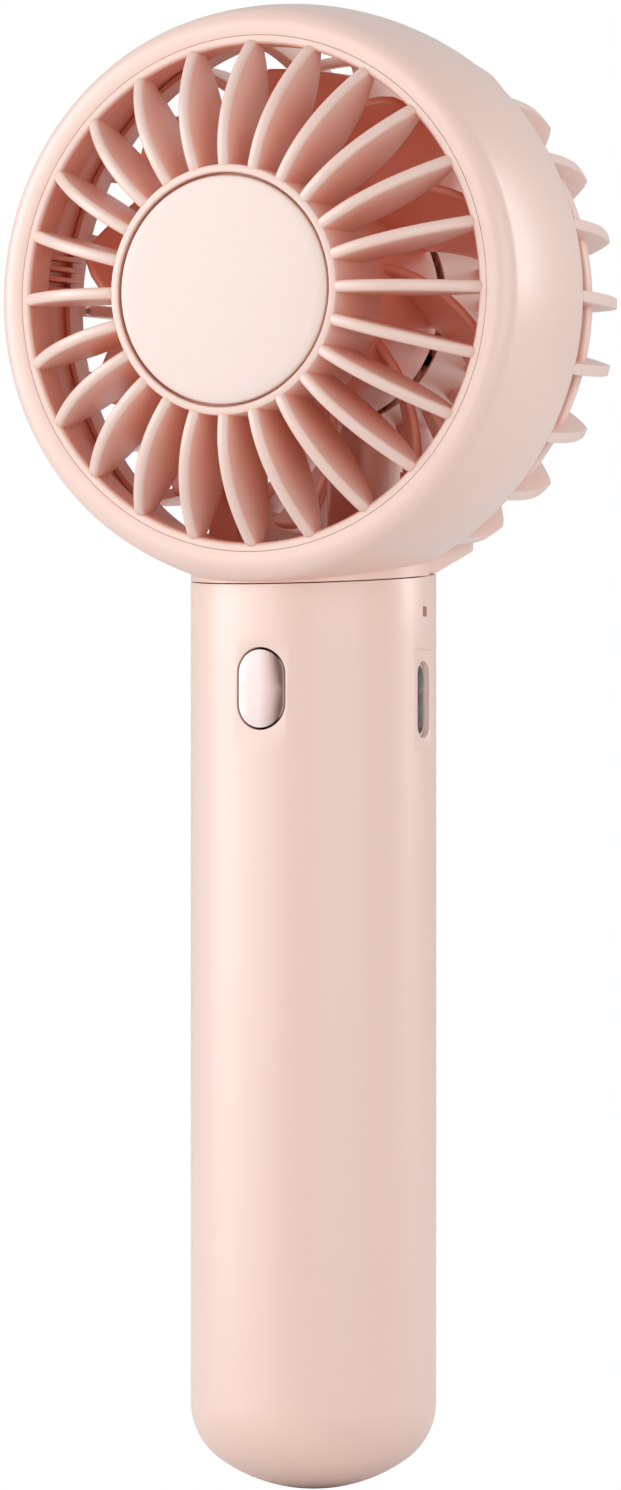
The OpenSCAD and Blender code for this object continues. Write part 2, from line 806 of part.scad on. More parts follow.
// one blade as a thin curved sheet: j runs from its back edge to its front edge, i from root to tip
module blade() {
    spans = [0, 0.25, 0.5, 0.75, 0.92, 1];
    chords = [1, 1, 0.98, 0.93, 0.84, 0.66];
    root_r = imp_r - imp_wall / 2;
    n = 9;
    function r(i) = root_r + (blade_tip_r - root_r) * spans[i];
    function f(i, j) = let (mid = (blade_front + blade_back) / 2, half = (blade_front - blade_back) / 2)
        mid + half * chords[i] * (2 * j / n - 1);
    function turn(i, j) = blade_start - blade_sweep * spans[i]
        - blade_wrap * (blade_front - f(i, j)) / (blade_front - blade_back);
    function thick(i, j) = blade_t * (0.45 + 0.55 * sin(180 * j / n)) / cos(blade_wrap);
    function at(i, j, side) = let (a = turn(i, j) + side * thick(i, j) / 2 / r(i) * 180 / PI)
        [r(i) * cos(a), r(i) * sin(a), f(i, j)];
    m = len(spans);
    row = n + 1;
    points = [for (side = [-1, 1], i = [0:m - 1], j = [0:n]) at(i, j, side)];
    far = m * row;
    quads = concat(
        [for (i = [0:m - 2], j = [0:n - 1])
            [i * row + j, (i + 1) * row + j, (i + 1) * row + j + 1, i * row + j + 1]],
        [for (i = [0:m - 2], j = [0:n - 1])
            let (low = far + i * row + j, high = low + row)
            [low, low + 1, high + 1, high]],
        [for (i = [0:m - 2])
            [i * row, far + i * row, far + (i + 1) * row, (i + 1) * row]],
        [for (i = [0:m - 2])
            [i * row + n, (i + 1) * row + n, far + (i + 1) * row + n, far + i * row + n]],
        [for (j = [0:n - 1])
            [j, j + 1, far + j + 1, far + j]],
        [for (j = [0:n - 1])
            let (near = (m - 1) * row + j)
            [near, far + near, far + near + 1, near + 1]]
    );
    triangles = [for (q = quads) each [[q[2], q[1], q[0]], [q[3], q[2], q[0]]]];
    polyhedron(points, triangles);
}

module impeller() {
    color(blush_deep)
    on_axis() {
        difference() {
            translate([0, 0, imp_back])
                cylinder(r = imp_r, h = imp_front - imp_back);
            translate([0, 0, imp_back - 1])
                cylinder(r = imp_r - imp_wall, h = imp_front - imp_wall - imp_back + 1);
            translate([0, 0, imp_front - imp_wall - 1])
                cylinder(r = boss_r + 0.15, h = imp_wall + 2);
        }
        for (i = [0:blade_count - 1])
            rotate([0, 0, i * 360 / blade_count])
                blade();
    }
}

module rotor_bell() {
    color(steel)
    on_axis()
        difference() {
            union() {
                translate([0, 0, bell_back])
                    cylinder(r = bell_r, h = bell_front - bell_back);
                translate([0, 0, bell_front - eps])
                    cylinder(r = boss_r, h = imp_wall - 0.2);
            }
            difference() {
                translate([0, 0, bell_back - 1])
                    cylinder(r = bell_r - bell_wall, h = bell_front - bell_wall - bell_back + 1);
                translate([0, 0, bell_front - bell_wall - 1])
                    cylinder(r = boss_r, h = 2);
            }
            translate([0, 0, bell_back - 2])
                cylinder(r = shaft_r + 0.01, h = 40);
        }
}

module rotor_magnet() {
    color([0.25, 0.25, 0.27])
    on_axis()
        translate([0, 0, magnet_back])
            ring(magnet_out_r, magnet_in_r, magnet_front - magnet_back);
}

module motor_shaft() {
    color(steel)
    on_axis()
        difference() {
            translate([0, 0, shaft_back])
                cylinder(r = shaft_r, h = bell_front + imp_wall - 0.3 - shaft_back);
            translate([0, 0, clip_f - clip_t - 0.05])
                ring(shaft_r + 1, shaft_r - 0.25, clip_t + 0.1);
        }
}

module shaft_clip() {
    color(steel)
    on_axis()
        translate([0, 0, clip_f - clip_t])
            difference() {
                ring(shaft_r + 1.3, shaft_r - 0.22, clip_t);
                translate([0, -shaft_r * 0.6, -1])
                    cube([shaft_r + 3, shaft_r * 1.2, 3]);
            }
}

module button_cap() {
    cap_w = slot_w - 2 * button_gap;
    cap_h = slot_h - 2 * button_gap;
    color([0.88, 0.72, 0.70])
    translate([0, 0, button_z]) {
        intersection() {
            translate([0, -handle_r, 0])
                upright_slot(cap_w, cap_h, 2 * (handle_r + cap_flange_y));
            // crowned face, flush with the handle
            translate([0, 0, -slot_h])
                cylinder(r = handle_r, h = 2 * slot_h);
        }
        translate([0, cap_flange_y + cap_flange_t / 2 - eps, 0])
            upright_slot(cap_w + cap_flange_w, cap_h + cap_flange_w, cap_flange_t);
        // post that reaches the switch
        translate([0, stem_front_y - fit, 0])
            rotate([90, 0, 0])
                cylinder(r = stem_r, h = stem_front_y - fit - cap_flange_y);
    }
}

module switch_plunger() {
    color(black_plastic)
    translate([0, board_front_y - switch_h + 0.6, button_z])
        rotate([90, 0, 0])
            cylinder(r = stem_r, h = 2.1);
}

module power_switch() {
    color([0.35, 0.35, 0.37])
    difference() {
        translate([-switch_w / 2, board_front_y - switch_h, button_z - switch_w / 2])
            cube([switch_w, switch_h, switch_w]);
        translate([0, board_front_y - switch_h + 1.1, button_z])
            rotate([90, 0, 0])
                cylinder(r = stem_r + 0.15, h = 3);
    }
}

// where the board's two screws go: x and z
board_screws = [[-board_half_w + 2.6, chassis_top - 3.6], [board_half_w - 2.6, board_bottom + 3]];

module board_screw_places() {
    for (p = board_screws)
        translate([p[0], 0, p[1]])
            children();
}

module main_pcb() {
    color(board_green)
    difference() {
        union() {
            translate([-board_half_w, board_front_y, board_bottom])
                cube([2 * board_half_w, board_t, handle_len - spigot_len - 0.4 - board_bottom]);
            translate([-board_neck_half_w, board_front_y, board_bottom])
                cube([2 * board_neck_half_w, board_t, board_top - board_bottom]);
        }
        board_screw_places()
            translate([0, 1, 0])
                rotate([90, 0, 0])
                    cylinder(r = screw_r + 0.2, h = 8, $fn = 32);
        // cleared by the drum's underside
        on_axis()
            drum_filled(-0.6);
    }
}

// charging receptacle shell, opening to +X
module usb_shell() {
    color(steel)
    translate([port_x + port_depth / 2, 0, port_z])
        rotate([0, 0, 90])
            difference() {
                upright_slot(port_t, port_w, port_depth);
                translate([0, -port_wall, 0])
                    upright_slot(port_t - 2 * port_wall, port_w - 2 * port_wall, port_depth);
            }
}

module usb_tongue() {
    color([0.45, 0.45, 0.47])
    translate([port_x + port_wall, 0, port_z]) {
        translate([1.1, 0, 0])
            rotate([0, 0, 90])
                upright_slot(port_t - 2 * port_wall - 0.04, port_w - 2 * port_wall - 0.04, 2.1);
        translate([tongue_start, -tongue_t / 2, -tongue_w / 2])
            cube([port_depth - port_wall - tongue_start - 0.6, tongue_t, tongue_w]);
    }
}

module charge_led() {
    color(white_plastic)
    translate([board_neck_half_w - led_t - 0.5, board_y, light_z - led_len / 2])
        cube([led_t + 0.4, 1, led_len]);
}

module light_pipe() {
    start = board_neck_half_w + 0.1;
    color([0.86, 0.62, 0.56])
    difference() {
        translate([start, -light_w / 2 + fit / 2, light_z - light_w / 2 + fit / 2])
            cube([handle_r - 0.1 - start, light_w - fit, light_w - fit]);
        // its end follows the handle's surface
        difference() {
            translate([start, -light_w, light_z - light_w])
                cube([handle_r, 2 * light_w, 2 * light_w]);
            translate([0, 0, light_z - 2 * light_w])
                cylinder(r = handle_r - 0.05, h = 4 * light_w);
        }
    }
}

module charger_chip() {
    color(black_plastic)
    translate([-7.5, board_y, button_z - 2])
        cube([4, 0.9, 4]);
}

module power_inductor() {
    color([0.2, 0.2, 0.22])
    translate([-7, board_y, board_bottom + 3])
        difference() {
            cube([5, 3, 5]);
            translate([2.5, 2.4, 2.5])
                rotate([-90, 0, 0])
                    cylinder(r = 1.8, h = 2);
        }
}

module smd_capacitors() {
    color([0.72, 0.6, 0.45])
    for (k = [0:3])
        translate([1 + 2 * k - (k > 1 ? 0.4 : 0), board_y, board_bottom + 3.6 + 1.2 * (k % 2)])
            cube([1.2, 0.8, 0.7]);
}

// two-way sockets: the motor's behind the board, the cell's in front of it
module wire_sockets() {
    color(white_plastic) {
        translate([-2.6, board_y, board_top - 11.4])
            cube([5.2, 4.2, 4.2]);
        translate([-2.6, board_front_y - 3.6, board_bottom + 0.6])
            cube([5.2, 3.6, 4]);
    }
}

module pcb_screws() {
    color(steel)
    board_screw_places()
        translate([0, board_front_y, 0])
            rotate([-90, 0, 0])
                pan_screw(1.6, 1, board_t + 3.6);
}

// carrier for the cell and the board, slid in from the top
module chassis() {
    rail_w = 4.4;
    color(black_plastic)
    difference() {
        union() {
            // half tube behind the cell and the board
            intersection() {
                translate([0, 0, chassis_z])
                    ring(chassis_r, chassis_in_r, chassis_top - chassis_z);
                translate([-30, 1.5, 0])
                    cube([60, 30, handle_len]);
            }
            // end, divider and saddles
            translate([0, 0, chassis_z])
                cylinder(r = chassis_r, h = chassis_t);
            translate([0, 0, divider_z])
                cylinder(r = chassis_r, h = chassis_t);
            intersection() {
                union()
                    for (z = [cell_z + 6, cell_z + cell_len / 2, cell_z + cell_len - 8])
                        translate([0, 0, z])
                            ring(chassis_in_r + 0.2, cell_r + 0.15, 2);
                translate([-30, 1.5, 0])
                    cube([60, 30, handle_len]);
            }
            // rails that carry the board
            intersection() {
                union() {
                    translate([-chassis_r, board_y + 0.02, divider_z])
                        cube([rail_w, 6, chassis_top - divider_z]);
                    translate([chassis_r - rail_w, board_y + 0.02, divider_z])
                        cube([rail_w, 6, port_z - port_w / 2 - 1 - divider_z]);
                }
                cylinder(r = chassis_r, h = handle_len);
            }
            // lugs under the neck's bosses
            for (side = [-1, 1])
                intersection() {
                    translate([side * post_x - post_r - 0.6, 2.4, chassis_top - lug_t])
                        cube([2 * post_r + 1.2, 12, lug_t]);
                    cylinder(r = chassis_r, h = handle_len);
                }
        }
        for (side = [-1, 1])
            translate([side * post_x, post_y, chassis_top - lug_t - 1])
                cylinder(r = screw_r + 0.2, h = lug_t + 2, $fn = 32);
        board_screw_places()
            translate([0, board_y + 5, 0])
                rotate([90, 0, 0])
                    cylinder(r = screw_r, h = 8, $fn = 32);
        // room for the charging port
        translate([port_x - 0.4, -5, port_z - port_w / 2 - 0.5])
            cube([handle_r, 5 + port_t / 2 + 0.4, port_w + 1]);
        // gap for the cell's wires, and room for the tab's fold
        translate([-9.4, -chassis_r - 1, chassis_z + chassis_t])
            cube([12, chassis_r - 2.6, divider_z + 5 - chassis_z]);
    }
}

module chassis_screws() {
    color(steel)
    for (side = [-1, 1])
        translate([side * post_x, post_y, chassis_top - lug_t])
            pan_screw(post_head_r, 1.2, lug_t + 5);
}

module battery_cell() {
    groove_z = cell_len - 4;
    color([0.25, 0.45, 0.65])
    translate([0, 0, cell_z])
        rotate_extrude()
            polygon([
                [0, 0], [cell_r - 0.8, 0], [cell_r, 0.8], [cell_r, groove_z - 0.8],
                [cell_r - 0.7, groove_z], [cell_r, groove_z + 0.8], [cell_r, cell_len - 1.2],
                [cell_r - 0.9, cell_len - 0.5], [cell_r * 0.4, cell_len - 0.5], [cell_r * 0.4, cell_len],
                [0, cell_len]
            ]);
}

// nickel strips welded to the cell's ends
module cell_tabs() {
    color(steel)
    for (end = [[cell_z - tab_t, -9], [cell_z + cell_len, -2]])
        translate([0, 0, end[0]])
            difference() {
                union() {
                    translate([-2.5, -chassis_r + 5.4, 0])
                        cube([5, chassis_r - 3.4, tab_t]);
                    // arm that the wire is soldered to
                    translate([end[1], -chassis_r + 4.6, 0])
                        cube([2 - end[1], 3, tab_t]);
                }
                translate([0, 0, -1])
                    ring(40, chassis_r - 0.2, 4);
            }
}

// the cell's two wires, up to the socket on the front of the board
module battery_wires() {
    low_y = -chassis_r + 6.1;
    far_x = -min(8, sqrt(pow(bore_r - 1, 2) - low_y * low_y));
    socket_z = board_bottom + 0.55;
    socket_y = board_front_y - 1.8;
    color("black") {
        wire([
            [far_x, low_y, cell_z + 0.2],
            [far_x, low_y - 1.4, cell_z + 6],
            [far_x, low_y - 1.4, cell_z + cell_len / 2],
            [far_x, low_y - 1.4, cell_z + cell_len - 6],
            [far_x + 1.6, low_y - 0.6, divider_z],
            [-lead_x - 1, socket_y - 0.2, divider_z + chassis_t + 1],
            [-lead_x, socket_y, socket_z]
        ], wire_r);
        wire([
            [lead_x, low_y + 1, cell_z + cell_len + tab_t + 0.15],
            [lead_x, low_y + 1.4, divider_z + 0.9],
            [lead_x, socket_y - 0.2, divider_z + chassis_t + 1],
            [lead_x, socket_y, socket_z]
        ], wire_r);
    }
}

// soft block between the chassis and the handle's rounded end
module end_foam() {
    foam_r = 6;
    floor_z = crown_ball_r - sqrt(pow(crown_ball_r - handle_wall, 2) - foam_r * foam_r) + 0.2;
    color([0.3, 0.3, 0.32])
    translate([0, 0, floor_z])
        cylinder(r = foam_r, h = chassis_z - floor_z - 0.1);
}

handle_shell();
head_drum();
front_grille();
hub_cap();
rear_grille();
rear_hub_cap();
motor_base();
motor_screws();
shaft_bushes();
stator_core();
stator_windings();
motor_pcb();
motor_wires();
impeller();
rotor_bell();
rotor_magnet();
motor_shaft();
shaft_clip();
button_cap();
switch_plunger();
power_switch();
main_pcb();
usb_shell();
usb_tongue();
charge_led();
light_pipe();
charger_chip();
power_inductor();
smd_capacitors();
wire_sockets();
pcb_screws();
chassis();
chassis_screws();
battery_cell();
cell_tabs();
battery_wires();
end_foam();
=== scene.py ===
# Handheld electric fan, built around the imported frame.
import bpy
import bmesh
import json
import math
from mathutils import Matrix, Vector


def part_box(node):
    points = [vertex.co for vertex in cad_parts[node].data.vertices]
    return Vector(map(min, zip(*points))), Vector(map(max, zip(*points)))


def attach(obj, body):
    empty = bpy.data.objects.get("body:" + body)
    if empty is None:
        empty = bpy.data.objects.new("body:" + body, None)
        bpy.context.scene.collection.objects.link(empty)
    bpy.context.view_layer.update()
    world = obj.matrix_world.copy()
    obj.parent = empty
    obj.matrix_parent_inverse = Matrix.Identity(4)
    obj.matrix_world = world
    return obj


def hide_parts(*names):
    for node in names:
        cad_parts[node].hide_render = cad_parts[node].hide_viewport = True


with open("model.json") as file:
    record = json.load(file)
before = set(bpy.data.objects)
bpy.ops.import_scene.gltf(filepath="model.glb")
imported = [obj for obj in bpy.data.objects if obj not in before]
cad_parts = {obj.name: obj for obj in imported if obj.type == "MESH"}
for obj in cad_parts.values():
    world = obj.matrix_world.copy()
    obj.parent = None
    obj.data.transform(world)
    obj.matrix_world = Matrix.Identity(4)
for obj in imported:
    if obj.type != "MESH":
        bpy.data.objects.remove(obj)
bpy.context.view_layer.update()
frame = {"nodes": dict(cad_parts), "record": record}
mm = 0.001
print("frame loaded")

# sizes that several pieces share, in millimetres, read off the frame where it holds them
grilleLow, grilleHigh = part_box("front_grille")
capLow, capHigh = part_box("button_cap")
portLow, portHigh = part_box("usb_shell")
lightLow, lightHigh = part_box("light_pipe")
drumLow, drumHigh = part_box("head_drum")
handleLow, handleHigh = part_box("handle_shell")
fan = {
    "axisHeight": (grilleLow.z + grilleHigh.z) / 2 / mm,
    "headRadius": drumHigh.x / mm,
    "handleRadius": handleHigh.x / mm,
    "buttonHeight": (capLow.z + capHigh.z) / 2 / mm,
    "portHeight": (portLow.z + portHigh.z) / 2 / mm,
    "lightHeight": (lightLow.z + lightHigh.z) / 2 / mm,
    "jointHeight": 111.2,
    "jointRake": 4,
    "ductRadius": 29.9,
    "hubRadius": 15,
    "reach": 25.2,
    "ribs": 24,
    "ribThickness": 1.45,
}


def clearSelection():
    bpy.ops.object.select_all(action="DESELECT")


def pickObject(*pieces):
    clearSelection()
    for piece in pieces:
        piece.select_set(True)
    bpy.context.view_layer.objects.active = pieces[0]


def intoEdit(piece, part="VERT"):
    pickObject(piece)
    bpy.ops.object.mode_set(mode="EDIT")
    bpy.ops.mesh.select_mode(type=part)


def outOfEdit():
    bpy.ops.object.mode_set(mode="OBJECT")


def pickVerts(piece, test):    # selects by place, in millimetres
    shape = bmesh.from_edit_mesh(piece.data)
    for vert in shape.verts:
        vert.select = bool(test(vert.co / mm))
    shape.select_flush(True)
    shape.select_flush(False)
    bmesh.update_edit_mesh(piece.data)


def pickEdges(piece, test):    # both ends of the edge, in millimetres
    shape = bmesh.from_edit_mesh(piece.data)
    for edge in shape.edges:
        edge.select = bool(test(edge.verts[0].co / mm, edge.verts[1].co / mm))
    bmesh.update_edit_mesh(piece.data)


def settle(piece):    # place and turn go into the mesh
    pickObject(piece)
    bpy.ops.object.transform_apply(location=True, rotation=True, scale=True)


def tidyMesh(piece, turnOut=True):
    intoEdit(piece)
    bpy.ops.mesh.select_all(action="SELECT")
    bpy.ops.mesh.remove_doubles(threshold=0.002 * mm)
    if turnOut:
        bpy.ops.mesh.normals_make_consistent(inside=False)
    outOfEdit()


def applyAll(piece):
    pickObject(piece)
    for step in list(piece.modifiers):
        bpy.ops.object.modifier_apply(modifier=step.name)


def softEdges(piece, width, segments=2, angle=30):
    bevel = piece.modifiers.new("softEdges", "BEVEL")
    bevel.width = width * mm
    bevel.segments = segments
    bevel.limit_method = "ANGLE"
    bevel.angle_limit = math.radians(angle)
    bevel.use_clamp_overlap = True
    applyAll(piece)


def boolWith(piece, cutter, how="DIFFERENCE"):
    cut = piece.modifiers.new("cut", "BOOLEAN")
    cut.operation = how
    cut.solver = "EXACT"
    cut.object = cutter
    applyAll(piece)
    bpy.data.objects.remove(cutter)


def smoothShade(piece, angle=32):
    pickObject(piece)
    bpy.ops.object.shade_smooth_by_angle(angle=math.radians(angle))


def joinAll(name, pieces):
    pickObject(*pieces)
    if len(pieces) > 1:
        bpy.ops.object.join()
    whole = bpy.context.view_layer.objects.active
    whole.name = name
    whole.data.name = name
    return whole


def copyPiece(piece):
    twin = piece.copy()
    twin.data = piece.data.copy()
    bpy.context.scene.collection.objects.link(twin)
    return twin


def ringOf(piece, turns):    # copies around Z at the given angles; the first piece is used up
    copies = []
    for turn in turns:
        twin = copyPiece(piece)
        twin.rotation_euler = (0, 0, math.radians(turn))
        settle(twin)
        copies.append(twin)
    bpy.data.objects.remove(piece)
    return copies


def faceFan(piece):    # from around Z to around the fan's axis, +Z to the front
    piece.rotation_euler = (math.radians(90), 0, 0)
    piece.location = (0, 0, fan["axisHeight"] * mm)
    settle(piece)
    return piece


def arcPoints(cx, cy, radius, start, stop, steps):
    points = []
    for i in range(steps + 1):
        angle = math.radians(start + (stop - start) * i / steps)
        points.append((cx + radius * math.cos(angle), cy + radius * math.sin(angle)))
    return points


def bowPoints(first, middle, last, steps):    # smooth curve through three points
    points = []
    for i in range(steps + 1):
        t = i / steps
        a, b, c = (1 - t) * (1 - 2 * t), 4 * t * (1 - t), t * (2 * t - 1)
        points.append(tuple(first[k] * a + middle[k] * b + last[k] * c for k in (0, 1)))
    return points


# turned shape around Z: a ring is added at the first radius and height and drawn out from one to the next
def turned(name, outline, sides=128, loop=False):
    clearSelection()
    radius, height = outline[0]
    bpy.ops.mesh.primitive_circle_add(vertices=sides, radius=radius * mm, location=(0, 0, height * mm))
    piece = bpy.context.object
    piece.name = name
    settle(piece)
    intoEdit(piece)
    bpy.ops.mesh.select_all(action="SELECT")
    rings = outline[1:] + ([outline[0]] if loop else [])
    for nextRadius, nextHeight in rings:
        rise = (nextHeight - height) * mm
        bpy.ops.mesh.extrude_region_move(TRANSFORM_OT_translate={"value": (0, 0, rise)})
        height = nextHeight
        if nextRadius < 0.001:
            bpy.ops.mesh.merge(type="CENTER")
            break
        k = nextRadius / radius
        if abs(k - 1) > 1e-6:
            bpy.ops.transform.resize(value=(k, k, 1), center_override=(0, 0, height * mm))
        radius = nextRadius
    bpy.ops.mesh.select_all(action="SELECT")
    bpy.ops.mesh.remove_doubles(threshold=0.002 * mm)
    bpy.ops.mesh.normals_make_consistent(inside=False)
    outOfEdit()
    return piece


# flat strip in XZ: an upright edge drawn out from one station to the next, each (x, low z, high z)
def stripAlong(name, stations, rows=1):
    clearSelection()
    bpy.ops.mesh.primitive_plane_add(size=1, rotation=(math.radians(90), 0, 0))
    piece = bpy.context.object
    piece.name = name
    settle(piece)
    x, low, high = stations[0]
    intoEdit(piece)
    pickVerts(piece, lambda co: co.x > 0)
    bpy.ops.mesh.delete(type="VERT")
    bpy.ops.mesh.select_all(action="SELECT")
    if rows > 1:
        bpy.ops.mesh.subdivide(number_cuts=rows - 1)
    bpy.ops.transform.resize(value=(1, 1, (high - low) * mm), center_override=(0, 0, 0))
    bpy.ops.transform.translate(value=(0.5 + x * mm, 0, (low + high) / 2 * mm))
    for nextX, nextLow, nextHigh in stations[1:]:
        middle = (nextLow + nextHigh) / 2
        step = ((nextX - x) * mm, 0, (middle - (low + high) / 2) * mm)
        bpy.ops.mesh.extrude_region_move(TRANSFORM_OT_translate={"value": step})
        k = (nextHigh - nextLow) / (high - low)
        bpy.ops.transform.resize(value=(1, 1, k), center_override=(nextX * mm, 0, middle * mm))
        x, low, high = nextX, nextLow, nextHigh
    outOfEdit()
    return piece


def thicken(piece, thickness, offset=0.0):
    wall = piece.modifiers.new("wall", "SOLIDIFY")
    wall.thickness = thickness * mm
    wall.offset = offset
    wall.use_even_offset = True
    applyAll(piece)


# upright slot with round ends: a block whose edges along the given axis are rounded all the way
def stadium(name, size, middle, along="y", steps=12):
    clearSelection()
    bpy.ops.mesh.primitive_cube_add(size=1, location=[v * mm for v in middle])
    piece = bpy.context.object
    piece.name = name
    piece.scale = [v * mm for v in size]
    settle(piece)
    axis = "xyz".index(along)
    others = [size[i] for i in range(3) if i != axis]
    intoEdit(piece, "EDGE")
    pickEdges(piece, lambda a, b: abs(a[axis] - b[axis]) > size[axis] * 0.9)
    bpy.ops.mesh.bevel(offset=min(others) * 0.4995 * mm, segments=steps, affect="EDGES")
    outOfEdit()
    tidyMesh(piece)
    return piece


def block(name, low, high, round=0.0, segments=2):
    clearSelection()
    middle = [(a + b) / 2 * mm for a, b in zip(low, high)]
    bpy.ops.mesh.primitive_cube_add(size=1, location=middle)
    piece = bpy.context.object
    piece.name = name
    piece.scale = [(b - a) * mm for a, b in zip(low, high)]
    settle(piece)
    if round:
        softEdges(piece, round, segments)
    return piece


def finishPiece(piece, material, body, slot, *nodes, angle=32):
    piece.data.materials.clear()
    piece.data.materials.append(material)
    for face in piece.data.polygons:
        face.material_index = 0
    smoothShade(piece, angle)
    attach(piece, body)
    if nodes:
        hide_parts(*nodes)


camera = {"turn": 25.6, "distance": 850, "height": 90.8, "lens": 168.0, "sideways": 0.37}


def placeCamera(values):
    turn = math.radians(values["turn"])
    toward = Vector((math.sin(turn), -math.cos(turn), 0))
    across = Vector((math.cos(turn), math.sin(turn), 0))
    bpy.ops.object.camera_add()
    eye = bpy.context.object
    eye.name = "viewCamera"
    spot = toward * values["distance"] - across * values["sideways"] + Vector((0, 0, values["height"]))
    eye.location = spot * mm
    eye.rotation_euler = (math.radians(90), 0, turn)
    eye.data.lens = values["lens"]
    eye.data.sensor_width = 36
    eye.data.clip_start = 0.01
    eye.data.clip_end = 20
    bpy.context.scene.camera = eye
    return eye


placeCamera(camera)

lamps = {
    "key": {"from": (-880, -480, 300), "size": (700, 900), "power": 5.6, "tint": (0.93, 0.985, 1.0)},
    "front": {"from": (-390, -810, 260), "size": (420, 700), "power": 1.5, "tint": (0.97, 0.985, 1.0)},
    "fill": {"from": (760, -620, 120), "size": (800, 900), "power": 3.0, "tint": (1.0, 0.99, 0.98)},
    "rim": {"from": (760, 560, 420), "size": (220, 600), "power": 2.2, "tint": (0.97, 0.99, 1.0)},
}


def placeLamp(name, values):
    spot = Vector(values["from"]) * mm
    bpy.ops.object.light_add(type="AREA", location=spot)
    lamp = bpy.context.object
    lamp.name = name + "Light"
    lamp.data.shape = "RECTANGLE"
    lamp.data.size = values["size"][0] * mm
    lamp.data.size_y = values["size"][1] * mm
    lamp.data.energy = values["power"]
    lamp.data.color = values["tint"]
    aim = Vector((0, 0, 0.1)) - spot
    lamp.rotation_euler = aim.to_track_quat("-Z", "Y").to_euler()


for lampName, lampValues in lamps.items():
    placeLamp(lampName, lampValues)


def paleWorld(strength):
    world = bpy.data.worlds.new("paleRoom")
    bpy.context.scene.world = world
    world.use_nodes = True
    tree = world.node_tree
    sky = tree.nodes["Background"]    # lights the object
    sky.inputs["Color"].default_value = (1.0, 0.995, 0.99, 1)
    sky.inputs["Strength"].default_value = strength
    wall = tree.nodes.new("ShaderNodeBackground")    # seen behind it
    wall.inputs["Strength"].default_value = 1.0
    wall.inputs["Color"].default_value = (1, 1, 1, 1)
    seen = tree.nodes.new("ShaderNodeLightPath")
    mix = tree.nodes.new("ShaderNodeMixShader")
    tree.links.new(seen.outputs["Is Camera Ray"], mix.inputs["Fac"])
    tree.links.new(sky.outputs["Background"], mix.inputs[1])
    tree.links.new(wall.outputs["Background"], mix.inputs[2])
    tree.links.new(mix.outputs["Shader"], tree.nodes["World Output"].inputs["Surface"])


paleWorld(0.60)
bpy.context.scene.view_settings.view_transform = "Standard"
bpy.context.scene.view_settings.look = "None"
print("camera and light placed")


def newFinish(name):
    material = bpy.data.materials.new(name)
    material.use_nodes = True
    tree = material.node_tree
    tree.nodes.clear()
    out = tree.nodes.new("ShaderNodeOutputMaterial")
    shader = tree.nodes.new("ShaderNodeBsdfPrincipled")
    tree.links.new(shader.outputs["BSDF"], out.inputs["Surface"])
    place = tree.nodes.new("ShaderNodeTexCoord")
    return material, tree, shader, place.outputs["Object"]


def noiseOf(tree, place, scale, detail=3.0, rough=0.55, stretch=None):
    if stretch:
        turn = tree.nodes.new("ShaderNodeMapping")
        turn.inputs["Scale"].default_value = stretch
        tree.links.new(place, turn.inputs["Vector"])
        place = turn.outputs["Vector"]
    noise = tree.nodes.new("ShaderNodeTexNoise")
    noise.inputs["Scale"].default_value = scale
    noise.inputs["Detail"].default_value = detail
    noise.inputs["Roughness"].default_value = rough
    tree.links.new(place, noise.inputs["Vector"])
    return noise.outputs["Fac"]


def rampOf(tree, source, stops):
    ramp = tree.nodes.new("ShaderNodeValToRGB")
    ramp.color_ramp.elements[0].position = stops[0][0]
    ramp.color_ramp.elements[0].color = (*stops[0][1], 1)
    ramp.color_ramp.elements[1].position = stops[-1][0]
    ramp.color_ramp.elements[1].color = (*stops[-1][1], 1)
    for spot, shade in stops[1:-1]:
        element = ramp.color_ramp.elements.new(spot)
        element.color = (*shade, 1)
    tree.links.new(source, ramp.inputs["Fac"])
    return ramp.outputs["Color"]


def rangeOf(tree, source, low, high, fromLow=0.3, fromHigh=0.7):
    fit = tree.nodes.new("ShaderNodeMapRange")
    fit.inputs["From Min"].default_value = fromLow
    fit.inputs["From Max"].default_value = fromHigh
    fit.inputs["To Min"].default_value = low
    fit.inputs["To Max"].default_value = high
    tree.links.new(source, fit.inputs["Value"])
    return fit.outputs["Result"]


def bumpFrom(tree, shader, heights):    # (height output, strength, distance in mm), one over the next
    last = None
    for source, strength, distance in heights:
        bump = tree.nodes.new("ShaderNodeBump")
        bump.inputs["Strength"].default_value = strength
        bump.inputs["Distance"].default_value = distance * mm
        tree.links.new(source, bump.inputs["Height"])
        if last:
            tree.links.new(last, bump.inputs["Normal"])
        last = bump.outputs["Normal"]
    tree.links.new(last, shader.inputs["Normal"])


def shadeOf(colour, k):
    return tuple(min(1.0, c * k) for c in colour)


